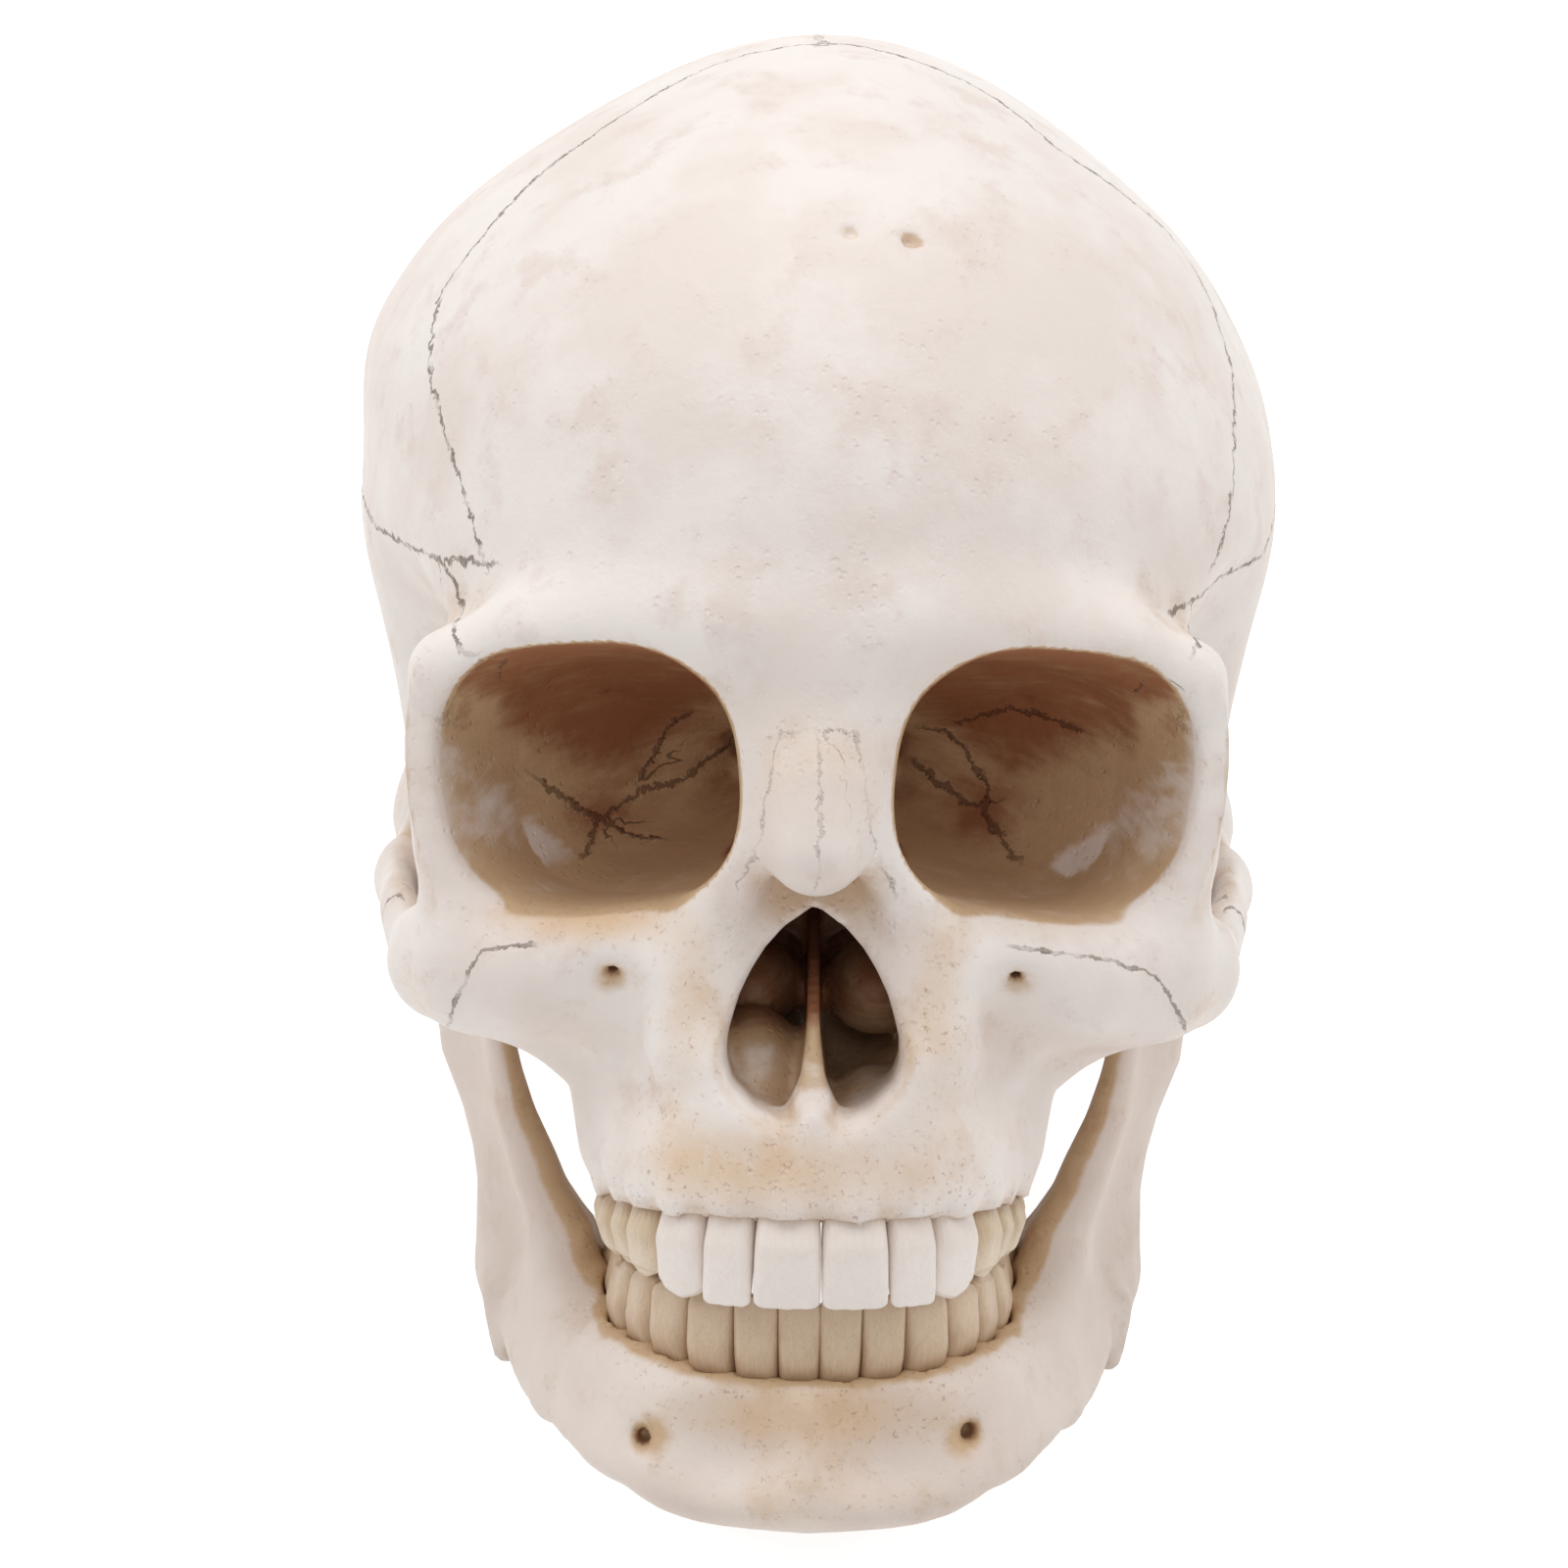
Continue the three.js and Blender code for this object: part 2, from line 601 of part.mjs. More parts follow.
// Triangles across one tetrahedron, as pairs of its corners, for each set of corners inside the form
function crossings(inside, mirrored) {
  const within = [0, 1, 2, 3].filter((corner) => inside >> corner & 1);
  const beyond = [0, 1, 2, 3].filter((corner) => !(inside >> corner & 1));
  if (!within.length || !beyond.length) {
    return [];
  }
  const single = within.length === 3 ? beyond : within;
  const order = [...single, ...(single === within ? beyond : within)];
  const flip = mirrored !== (within.length === 3);
  if (isOdd(order)) {
    [order[2], order[3]] = [order[3], order[2]];
  }
  const [a, b, c, d] = order;
  let faces = [[[a, b], [a, c], [a, d]]];
  if (single.length === 2) {
    faces = [[[a, c], [a, d], [b, d]], [[a, c], [b, d], [b, c]]];
  }
  return flip ? faces.map(([p, q, r]) => [p, r, q]) : faces;
}

function sampleField(field, low, count, step) {
  const block = 6;
  const reach = block * step * 0.87 * 1.7;
  const [nx, ny, nz] = count;
  const values = new Float32Array(nx * ny * nz);
  for (let bx = 0; bx < nx; bx += block) {
    for (let by = 0; by < ny; by += block) {
      for (let bz = 0; bz < nz; bz += block) {
        const half = block / 2;
        const centre = [bx, by, bz].map((start, axis) => low[axis] + (start + half) * step);
        const middle = field(...centre);
        for (let i = bx; i < Math.min(bx + block, nx); i++) {
          for (let j = by; j < Math.min(by + block, ny); j++) {
            for (let k = bz; k < Math.min(bz + block, nz); k++) {
              const here = Math.abs(middle) > reach
                ? middle
                : field(low[0] + i * step, low[1] + j * step, low[2] + k * step);
              values[(i * ny + j) * nz + k] = here || 1e-6;
            }
          }
        }
      }
    }
  }
  return values;
}

function surfaceOf(field, low, high, step) {
  const count = low.map((start, axis) => Math.ceil((high[axis] - start) / step) + 1);
  const [nx, ny, nz] = count;
  const values = sampleField(field, low, count, step);
  const stride = [ny * nz, nz, 1];
  const cornerStep = Array.from({ length: 8 }, (_, corner) => (
    (corner & 1) * stride[0] + (corner >> 1 & 1) * stride[1] + (corner >> 2 & 1) * stride[2]));
  const faceTable = tetrahedra.map(({ mirrored }) => (
    Array.from({ length: 16 }, (_, inside) => crossings(inside, mirrored))));
  const points = [];
  const faces = [];
  const known = new Map();
  const pointOn = (index, from, to) => {
    const [lower, upper] = from < to ? [from, to] : [to, from];
    const start = index + cornerStep[lower];
    const key = start * 8 + (upper ^ lower);
    let found = known.get(key);
    if (found === undefined) {
      const a = values[start];
      const b = values[index + cornerStep[upper]];
      const t = clamp(a / (a - b), 0.02, 0.98);
      const k = start % nz;
      const j = (start - k) / nz % ny;
      const i = (start - k - j * nz) / (ny * nz);
      const run = upper ^ lower;
      points.push(
        low[0] + (i + t * (run & 1)) * step,
        low[1] + (j + t * (run >> 1 & 1)) * step,
        low[2] + (k + t * (run >> 2 & 1)) * step,
      );
      found = points.length / 3 - 1;
      known.set(key, found);
    }
    return found;
  };
  for (let i = 0; i + 1 < nx; i++) {
    for (let j = 0; j + 1 < ny; j++) {
      for (let k = 0; k + 1 < nz; k++) {
        const index = (i * ny + j) * nz + k;
        let below = 0;
        for (let corner = 0; corner < 8; corner++) {
          below += values[index + cornerStep[corner]] < 0 ? 1 : 0;
        }
        if (below === 0 || below === 8) {
          continue;
        }
        tetrahedra.forEach(({ corners }, order) => {
          let inside = 0;
          corners.forEach((corner, place) => {
            inside |= values[index + cornerStep[corner]] < 0 ? 1 << place : 0;
          });
          for (const face of faceTable[order][inside]) {
            faces.push(...face.map(([a, b]) => pointOn(index, corners[a], corners[b])));
          }
        });
      }
    }
  }
  return largestShell(points, faces);
}

// Keeps the largest connected shell and drops loose crumbs
function largestShell(points, faces) {
  const parent = Int32Array.from({ length: points.length / 3 }, (_, i) => i);
  const rootOf = (i) => {
    while (parent[i] !== i) {
      parent[i] = parent[parent[i]];
      i = parent[i];
    }
    return i;
  };
  for (let f = 0; f < faces.length; f += 3) {
    parent[rootOf(faces[f + 1])] = rootOf(faces[f]);
    parent[rootOf(faces[f + 2])] = rootOf(faces[f]);
  }
  const tally = new Map();
  for (let f = 0; f < faces.length; f += 3) {
    const root = rootOf(faces[f]);
    tally.set(root, (tally.get(root) ?? 0) + 1);
  }
  const [main] = [...tally.entries()].sort((a, b) => b[1] - a[1])[0];
  const renumber = new Map();
  const keptPoints = [];
  const keptFaces = [];
  for (let f = 0; f < faces.length; f++) {
    if (rootOf(faces[f]) !== main) {
      continue;
    }
    if (!renumber.has(faces[f])) {
      renumber.set(faces[f], renumber.size);
      keptPoints.push(...points.slice(faces[f] * 3, faces[f] * 3 + 3));
    }
    keptFaces.push(renumber.get(faces[f]));
  }
  return { points: keptPoints, faces: keptFaces };
}

// Least-cost queue for the facet reducer
class CostQueue {
  constructor() {
    this.items = [];
  }

  push(item) {
    const { items } = this;
    let i = items.push(item) - 1;
    while (i > 0) {
      const up = (i - 1) >> 1;
      if (items[up].cost <= items[i].cost) {
        break;
      }
      [items[up], items[i]] = [items[i], items[up]];
      i = up;
    }
  }

  pop() {
    const { items } = this;
    const top = items[0];
    const last = items.pop();
    if (items.length) {
      items[0] = last;
      let i = 0;
      while (true) {
        let least = i;
        for (const child of [2 * i + 1, 2 * i + 2]) {
          if (child < items.length && items[child].cost < items[least].cost) {
            least = child;
          }
        }
        if (least === i) {
          break;
        }
        [items[least], items[i]] = [items[i], items[least]];
        i = least;
      }
    }
    return top;
  }
}

// Merges short edges where the surface is flattest until it has the wanted number of facets
function reduceFacets({ points, faces }, wanted, importance = () => 1) {
  const total = points.length / 3;
  const ring = Array.from({ length: total }, () => []);
  const quadric = new Float64Array(total * 10);
  const stamp = new Int32Array(total);
  const gone = new Uint8Array(faces.length / 3);
  const normalOf = (a, b, c) => {
    const ux = b[0] - a[0];
    const uy = b[1] - a[1];
    const uz = b[2] - a[2];
    const vx = c[0] - a[0];
    const vy = c[1] - a[1];
    const vz = c[2] - a[2];
    return [uy * vz - uz * vy, uz * vx - ux * vz, ux * vy - uy * vx];
  };
  const pointAt = (i) => [points[i * 3], points[i * 3 + 1], points[i * 3 + 2]];
  for (let f = 0; f < gone.length; f++) {
    const corners = [faces[f * 3], faces[f * 3 + 1], faces[f * 3 + 2]];
    const [a, b, c] = corners.map(pointAt);
    const [nx, ny, nz] = normalOf(a, b, c);
    const size = norm(nx, ny, nz) || 1e-12;
    const [x, y, z] = [nx / size, ny / size, nz / size];
    const w = -(x * a[0] + y * a[1] + z * a[2]);
    const plane = [x * x, x * y, x * z, x * w, y * y, y * z, y * w, z * z, z * w, w * w];
    for (const corner of corners) {
      ring[corner].push(f);
      plane.forEach((value, i) => {
        quadric[corner * 10 + i] += value * size;
      });
    }
  }
  const errorAt = (q, x, y, z) => (
    q[0] * x * x + q[4] * y * y + q[7] * z * z + q[9]
    + 2 * (q[1] * x * y + q[2] * x * z + q[3] * x + q[5] * y * z + q[6] * y + q[8] * z));
  const edgeItem = (u, v) => {
    const q = [];
    for (let i = 0; i < 10; i++) {
      q.push(quadric[u * 10 + i] + quadric[v * 10 + i]);
    }
    const a = pointAt(u);
    const b = pointAt(v);
    const middle = a.map((value, i) => (value + b[i]) / 2);
    const length = norm(a[0] - b[0], a[1] - b[1], a[2] - b[2]);
    const [xx, xy, xz, xw, yy, yz, yw, zz, zw] = q;
    const det = xx * (yy * zz - yz * yz) - xy * (xy * zz - yz * xz) + xz * (xy * yz - yy * xz);
    let place = middle;
    if (Math.abs(det) > 1e-4 * (xx + yy + zz) ** 3) {
      const solved = [
        -(xw * (yy * zz - yz * yz) - xy * (yw * zz - yz * zw) + xz * (yw * yz - yy * zw)) / det,
        -(xx * (yw * zz - zw * yz) - xw * (xy * zz - yz * xz) + xz * (xy * zw - yw * xz)) / det,
        -(xx * (yy * zw - yz * yw) - xy * (xy * zw - yw * xz) + xw * (xy * yz - yy * xz)) / det,
      ];
      const away = norm(solved[0] - middle[0], solved[1] - middle[1], solved[2] - middle[2]);
      place = away < length ? solved : middle;
    }
    const cost = (Math.max(errorAt(q, ...place), 0) + 1e-5 * length ** 3) * importance(...middle);
    return { cost, u, v, place, stampU: stamp[u], stampV: stamp[v] };
  };
  const neighbours = (u) => {
    const around = new Set();
    for (const f of ring[u]) {
      around.add(faces[f * 3]);
      around.add(faces[f * 3 + 1]);
      around.add(faces[f * 3 + 2]);
    }
    around.delete(u);
    return around;
  };
  const turnsOver = (u, v, place) => ring[u].some((f) => {
    const corners = [faces[f * 3], faces[f * 3 + 1], faces[f * 3 + 2]];
    if (corners.includes(v)) {
      return false;
    }
    const before = normalOf(...corners.map(pointAt));
    const after = normalOf(...corners.map((corner) => (corner === u ? place : pointAt(corner))));
    const dot = before[0] * after[0] + before[1] * after[1] + before[2] * after[2];
    return dot < 0.35 * norm(...before) * norm(...after) || norm(...after) < 1e-3;
  });
  const queue = new CostQueue();
  for (let f = 0; f < gone.length; f++) {
    for (const [a, b] of [[0, 1], [1, 2], [2, 0]]) {
      if (faces[f * 3 + a] < faces[f * 3 + b]) {
        queue.push(edgeItem(faces[f * 3 + a], faces[f * 3 + b]));
      }
    }
  }
  let left = gone.length;
  while (left > wanted && queue.items.length) {
    const { u, v, place, stampU, stampV } = queue.pop();
    if (stamp[u] !== stampU || stamp[v] !== stampV) {
      continue;
    }
    const aroundV = neighbours(v);
    const shared = [...neighbours(u)].filter((point) => aroundV.has(point));
    if (shared.length !== 2 || turnsOver(u, v, place) || turnsOver(v, u, place)) {
      continue;
    }
    for (const f of ring[v]) {
      const corners = [faces[f * 3], faces[f * 3 + 1], faces[f * 3 + 2]];
      if (corners.includes(u)) {
        gone[f] = 1;
        left -= 1;
      } else {
        faces[f * 3 + corners.indexOf(v)] = u;
        ring[u].push(f);
      }
    }
    ring[v] = [];
    ring[u] = ring[u].filter((f) => !gone[f]);
    for (const point of shared) {
      ring[point] = ring[point].filter((f) => !gone[f]);
    }
    place.forEach((value, i) => {
      points[u * 3 + i] = value;
    });
    for (let i = 0; i < 10; i++) {
      quadric[u * 10 + i] += quadric[v * 10 + i];
    }
    stamp[v] = -1;
    stamp[u] += 1;
    for (const point of neighbours(u)) {
      queue.push(edgeItem(Math.min(u, point), Math.max(u, point)));
    }
  }
  const geometry = new THREE.BufferGeometry();
  const kept = [];
  for (let f = 0; f < gone.length; f++) {
    if (!gone[f]) {
      kept.push(...pointAt(faces[f * 3]), ...pointAt(faces[f * 3 + 1]), ...pointAt(faces[f * 3 + 2]));
    }
  }
  geometry.setAttribute('position', new THREE.Float32BufferAttribute(kept, 3));
  return geometry;
}

// Solids for cutting and joining, and back to geometry
function solidOf(geometry) {
  const bare = geometry.clone();
  bare.deleteAttribute('normal');
  bare.deleteAttribute('uv');
  const merged = mergeVertices(bare, 1e-4);
  return new wasm.Manifold(new wasm.Mesh({
    numProp: 3,
    vertProperties: new Float32Array(merged.attributes.position.array),
    triVerts: new Uint32Array(merged.index.array),
  }));
}

function geometryOf(solid) {
  const { vertProperties, triVerts } = solid.getMesh();
  const geometry = new THREE.BufferGeometry();
  geometry.setAttribute('position', new THREE.Float32BufferAttribute(vertProperties, 3));
  geometry.setIndex([...triVerts]);
  return geometry;
}

// The face keeps most facets, the unseen inside of the braincase the fewest
function craniumDetail(x, y, z) {
  if (vault(Math.abs(x), y, z) < -castWall / 2 && y > -60 && z > vaultBase + 12) {
    return 0.1;
  }
  return y < -45 && z < rimTop + 14 ? 6 : 1;
}

// Tube of rings between two closed ends; each ring is [height, halfWidth, halfDepth, backset]
function loft(rings, sides, capLift, squareness) {
  const points = [];
  const faces = [];
  rings.forEach(([height, halfWidth, halfDepth, backset], level) => {
    for (let i = 0; i < sides; i++) {
      const angle = 2 * Math.PI * (i + 0.5) / sides;
      const c = Math.cos(angle);
      const s = Math.sin(angle);
      const reach = (Math.abs(c) ** squareness + Math.abs(s) ** squareness) ** (-1 / squareness);
      const top = level === rings.length - 1 ? capLift(angle) : 0;
      const narrow = s < 0 ? 1 + 0.14 * s : 1;
      points.push(halfWidth * reach * c * narrow, halfDepth * reach * s - backset, height + top);
    }
    if (level) {
      for (let i = 0; i < sides; i++) {
        const j = (i + 1) % sides;
        const [a, b] = [(level - 1) * sides + i, (level - 1) * sides + j];
        faces.push(a, b, b + sides, a, b + sides, a + sides);
      }
    }
  });
  const last = (rings.length - 1) * sides;
  const [endHeight, , , endBackset] = rings[rings.length - 1];
  points.push(0, -rings[0][3], rings[0][0], 0, -endBackset, endHeight + capLift(null));
  const bottom = points.length / 3 - 2;
  for (let i = 0; i < sides; i++) {
    const j = (i + 1) % sides;
    faces.push(bottom, j, i, bottom + 1, last + i, last + j);
  }
  const geometry = new THREE.BufferGeometry();
  geometry.setAttribute('position', new THREE.Float32BufferAttribute(points, 3));
  geometry.setIndex(faces);
  return geometry;
}

// Teeth from the middle to the back: width along the jaw, depth across it, edge thickness, top form
const toothKinds = [
  { name: 'central_incisor', upper: [8.5, 7], lower: [5.1, 5.8], edge: 0.24, top: 'edge' },
  { name: 'lateral_incisor', upper: [6.4, 6.2], lower: [5.5, 6], edge: 0.26, top: 'edge' },
  { name: 'canine', upper: [7.3, 7.8], lower: [6.3, 7.2], edge: 0.34, top: 'point' },
  { name: 'first_premolar', upper: [6.5, 8.6], lower: [6.5, 7.4], edge: 0.64, top: 'pair' },
  { name: 'second_premolar', upper: [6.3, 8.6], lower: [6.7, 7.8], edge: 0.66, top: 'pair' },
  { name: 'first_molar', upper: [9.3, 10.4], lower: [10.2, 9.6], edge: 0.74, top: 'four' },
  { name: 'second_molar', upper: [8.7, 10.2], lower: [9.7, 9.4], edge: 0.74, top: 'four' },
  { name: 'third_molar', upper: [7.6, 9.4], lower: [8.6, 8.8], edge: 0.74, top: 'four' },
];
const toothGap = 0.3;
const toothSides = 12;
const socketSides = 8;
const cuspHeight = 1.3;
const neckShare = 0.46;

// Height of the crown's top edge by angle; null asks for its middle
const crownTops = {
  edge: (angle) => (angle === null ? 0.1 : -0.25 * Math.abs(Math.cos(angle))),
  point: (angle) => (angle === null ? 0.6 : -1.4 * Math.abs(Math.cos(angle))),
  pair: (angle) => (angle === null ? -cuspHeight : -cuspHeight * Math.cos(angle) ** 2),
  four: (angle) => (angle === null ? -cuspHeight : -cuspHeight * 0.8 * (1 - Math.abs(Math.sin(2 * angle)))),
};

function toothGeometry([width, depth], crown, kind) {
  const backset = (1 - kind.edge) * depth * 0.12;
  const rings = [
    [-rootLength, width * 0.25, depth * 0.25, 0],
    [0.2, width * neckShare, depth * 0.42, 0],
    [crown * 0.35, width * 0.48, depth * 0.5, 0],
    [crown * 0.75, width * 0.5, depth * lerp(0.5, kind.edge / 2, 0.5), backset],
    [crown, width * 0.47, depth * kind.edge / 2, backset],
  ];
  return loft(rings, toothSides, crownTops[kind.top], 2.5);
}

// Space for a tooth in the bone: its root, and its crown where the bone rises beside it
function socketGeometry([width, depth], crown) {
  const spare = toothClearance / Math.cos(Math.PI / socketSides) + 0.06 * width;
  const rings = [
    [-rootLength - toothClearance, width * 0.25 + spare, depth * 0.25 + spare, 0],
    [0, width * neckShare + spare, depth * 0.42 + spare, 0],
    [crown * 0.35, width * 0.48 + spare, depth * 0.5 + spare, 0],
    [crown + 3, width * 0.48 + spare, depth * 0.5 + spare, 0],
  ];
  return loft(rings, socketSides, () => 0, 2.5);
}

// Row of teeth: a squared arch in plan from the middle of the face, then nearly straight to the back
const rowTail = 22;

class ToothRow extends THREE.Curve {
  constructor(halfWidth, depth, splay) {
    super();
    this.halfWidth = halfWidth;
    this.depth = depth;
    this.splay = splay;
    this.arcLengthDivisions = 400;
  }

  getPoint(t) {
    const turn = Math.min(t / 0.75, 1) * Math.PI / 2;
    const straight = Math.max(t / 0.75 - 1, 0) * 3 * rowTail;
    const across = Math.sin(turn) ** (2 / archSquareness);
    const lengthwise = Math.max(Math.cos(turn), 0) ** (2 / archSquareness);
    return new THREE.Vector3(
      this.halfWidth * across + this.splay * straight,
      dentalCentreY - this.depth * lengthwise + straight,
      0,
    );
  }
}

const upperRow = new ToothRow(dentalHalf - 5, dentalDepth - 3.7, 0.04);
const lowerRow = new ToothRow(lowerHalf, lowerDepth, lowerSplay);
const frontTilt = [16, 14, 11, 6, 3, 0, 0, 0].map((degrees) => degrees * Math.PI / 180);

// Place of each tooth of one side: seat on the gum, heading of its outer face, tilt and crown height
function toothPlaces(upper, side) {
  const row = upper ? upperRow : lowerRow;
  const length = row.getLength();
  let run = toothGap / 2;
  return toothKinds.map((kind, order) => {
    const size = upper ? kind.upper : kind.lower;
    const u = (run + size[0] / 2 + side * dentalShift) / length;
    run += size[0] + toothGap;
    const seat = row.getPointAt(u);
    const tangent = row.getTangentAt(u);
    const share = order / (toothKinds.length - 1);
    const gum = upper ? upperGum - 2 * smooth(share * 1.6 - 0.2) : along(lowerGumLine, seat.y);
    const bite = occlusalLevel + 0.8 * smooth(share * 1.5 - 0.2);
    const reach = upper ? gum - bite : bite - gum;
    const crown = reach + (upper ? overbite : -toothGap) * (1 - smooth(order / 3 - 0.3)) - toothGap;
    seat.z = gum;
    return { kind, size, seat, heading: Math.atan2(-tangent.y, -tangent.x), tilt: frontTilt[order], crown };
  });
}

// Turns a mesh to its seat: tilt outwards, heading round the jaw, crown down for the upper row
function seatTooth(target, place, side, upper) {
  target.position.set(side * place.seat.x, place.seat.y, place.seat.z);
  target.rotation.set(upper ? place.tilt : -place.tilt, upper ? Math.PI : 0, side * place.heading, 'ZXY');
}

function placed(geometry, setPlace) {
  const holder = new THREE.Object3D();
  setPlace(holder);
  holder.updateMatrix();
  return geometry.clone().applyMatrix4(holder.matrix);
}

// Spring posts: a peg in the bone, a waist for the spring and a head
const postSides = 10;
const upperBoneX = boneSurface(cranium, upperPostY, upperPostZ);
const lowerBoneX = boneSurface(mandible, lowerPostY, lowerPostZ);

function boneSurface(field, y, z) {
  let inside = 40;
  let outside = springSpread;
  for (let i = 0; i < 30; i++) {
    const middle = (inside + outside) / 2;
    if (field(middle, y, z) < 0) {
      inside = middle;
    } else {
      outside = middle;
    }
  }
  return inside;
}

function postGeometry(boneX) {
  const waist = springSpread + springWire;
  const profile = [
    [0, boneX - postDepth],
    [postNeckRadius, boneX - postDepth],
    [postNeckRadius, waist],
    [postHeadRadius, waist + 0.3],
    [postHeadRadius, waist + postHeadThickness],
    [0, waist + postHeadThickness],
  ].map(([radius, x]) => new THREE.Vector2(radius, x - boneX));
  return new THREE.LatheGeometry(profile, postSides).rotateZ(-Math.PI / 2);
}

function postHole() {
  const radius = (postNeckRadius + postClearance) / Math.cos(Math.PI / postSides);
  const depth = postDepth + postClearance;
  const hole = new THREE.CylinderGeometry(radius, radius, depth + 4, postSides).rotateZ(-Math.PI / 2);
  return hole.translate((4 - depth) / 2, 0, 0);
}

// Spring: straight ends along its axis, then a helix that opens from the axis and closes again
const springEnd = 1.6 * springWire;
const springSeat = postNeckRadius + postClearance;

class SpringPath extends THREE.Curve {
  constructor(from, to) {
    super();
    this.from = from;
    this.length = from.distanceTo(to) - 2 * springSeat;
    this.axis = to.clone().sub(from).normalize();
    this.across = new THREE.Vector3(1, 0, 0);
    this.forward = this.axis.clone().cross(this.across);
  }

  getPoint(t) {
    const run = t * this.length;
    const turn = clamp((run - springEnd) / (this.length - 2 * springEnd), 0, 1) * springTurns;
    const open = smooth(turn * 2) * smooth((springTurns - turn) * 2);
    const radius = (springDiameter - springWire) / 2 * open;
    const angle = turn * 2 * Math.PI;
    return this.from.clone()
      .addScaledVector(this.axis, springSeat + run)
      .addScaledVector(this.across, radius * Math.cos(angle))
      .addScaledVector(this.forward, radius * Math.sin(angle));
  }
}

function springGeometry(path) {
  const section = new THREE.Shape(Array.from({ length: 5 }, (_, i) => {
    const angle = 2 * Math.PI * i / 5;
    return new THREE.Vector2(springWire / 2 * Math.cos(angle), springWire / 2 * Math.sin(angle));
  }));
  return new THREE.ExtrudeGeometry(section, { steps: springTurns * 8 + 6, extrudePath: path });
}

// Least clear space between two turns of the spring, measured on points of its path
function leastSpringGap(path) {
  const count = springTurns * 40;
  const points = path.getSpacedPoints(count);
  const spacing = path.getLength() / count;
  const skip = Math.ceil(Math.PI * springDiameter / 2 / spacing);
  let least = Infinity;
  for (let i = 0; i <= count; i++) {
    for (let j = i + skip; j <= count; j++) {
      least = Math.min(least, points[i].distanceTo(points[j]));
    }
  }
  return least - springWire;
}

// Bone parts in skull axes, with sockets, post holes and the hinge fitted
const fieldReach = 5;
const craniumLow = [
  -Math.max(sideHalf, archHalf) - fieldReach,
  -Math.max(nasalTipForward, browForward) - 10,
  Math.min(vaultBase, upperGum, mastoidTip) - 10,
];
const craniumHigh = [-craniumLow[0], vaultCentreY + cranialLength / 2 + 12, vaultTop + fieldReach];
const jawLow = [-hingeSpread - condyleLength, -chinForward - 15, chinLevel - 8];
const jawHigh = [-jawLow[0], hingeY + condyleLength, hingeZ + 10];

function condyle(spare) {
  const head = new THREE.SphereGeometry(1, 12, 8).rotateZ(Math.PI / 2);
  head.scale(condyleLength / 2 + spare, condyleRadius + spare, condyleRadius + spare);
  return head;
}

function shapedBone(field, low, high, facets, importance) {
  return solidOf(reduceFacets(surfaceOf(field, low, high, gridStep), facets, importance));
}

let craniumSolid = shapedBone(cranium, craniumLow, craniumHigh, craniumFacets, craniumDetail);
let mandibleSolid = shapedBone(mandible, jawLow, jawHigh, mandibleFacets);
for (const side of [-1, 1]) {
  const atHinge = (holder) => holder.position.set(side * hingeSpread, hingeY, hingeZ);
  mandibleSolid = mandibleSolid.add(solidOf(placed(condyle(0), atHinge)));
  craniumSolid = craniumSolid.subtract(solidOf(placed(condyle(jointClearance), atHinge)));
  for (const upper of [true, false]) {
    for (const place of toothPlaces(upper, side)) {
      const seat = (holder) => seatTooth(holder, place, side, upper);
      const socket = solidOf(placed(socketGeometry(place.size, place.crown), seat));
      if (upper) {
        craniumSolid = craniumSolid.subtract(socket);
      } else {
        mandibleSolid = mandibleSolid.subtract(socket);
      }
    }
  }
  const hole = side > 0 ? postHole() : postHole().rotateZ(Math.PI);
  const upperHole = hole.clone().translate(side * upperBoneX, upperPostY, upperPostZ);
  const lowerHole = hole.clone().translate(side * lowerBoneX, lowerPostY, lowerPostZ);
  craniumSolid = craniumSolid.subtract(solidOf(upperHole));
  mandibleSolid = mandibleSolid.subtract(solidOf(lowerHole));
}

// Resting tilt: the jaw angles and the back of the head touch one level surface
function lowestAt(solid, tilt) {
  const { vertProperties } = solid.getMesh();
  let lowest = Infinity;
  for (let i = 0; i < vertProperties.length; i += 3) {
    const level = vertProperties[i + 2] * Math.cos(tilt) - vertProperties[i + 1] * Math.sin(tilt);
    lowest = Math.min(lowest, level);
  }
  return lowest;
}

function restingTilt() {
  let low = 0.1;
  let high = 1;
  for (let i = 0; i < 40; i++) {
    const middle = (low + high) / 2;
    if (lowestAt(mandibleSolid, middle) < lowestAt(craniumSolid, middle)) {
      low = middle;
    } else {
      high = middle;
    }
  }
  return low;
}

const restTilt = restingTilt();
const restLevel = lowestAt(mandibleSolid, restTilt) + restFlatDepth;
const ground = new THREE.BoxGeometry(400, 400, 40).translate(0, 0, restLevel - 20).rotateX(restTilt);
craniumSolid = craniumSolid.subtract(solidOf(ground));
mandibleSolid = mandibleSolid.subtract(solidOf(ground));

// Finishes
function finish(color, roughness, metalness) {
  return new THREE.MeshStandardMaterial({ color, roughness, metalness });
}

const boneFinish = () => finish(0xe9e1d8, 0.62, 0);
const toothFinish = (shade) => finish(shade, 0.35, 0);
const steelFinish = () => finish(0xb9bcc0, 0.3, 0.95);

function piece(name, geometry, material) {
  const mesh = new THREE.Mesh(geometry, material);
  mesh.name = name;
  return mesh;
}

// Assembly in skull axes, then tilted back to stand
const skull = new THREE.Group();
skull.add(piece('cranium', geometryOf(craniumSolid), boneFinish()));
skull.add(piece('mandible', geometryOf(mandibleSolid), boneFinish()));

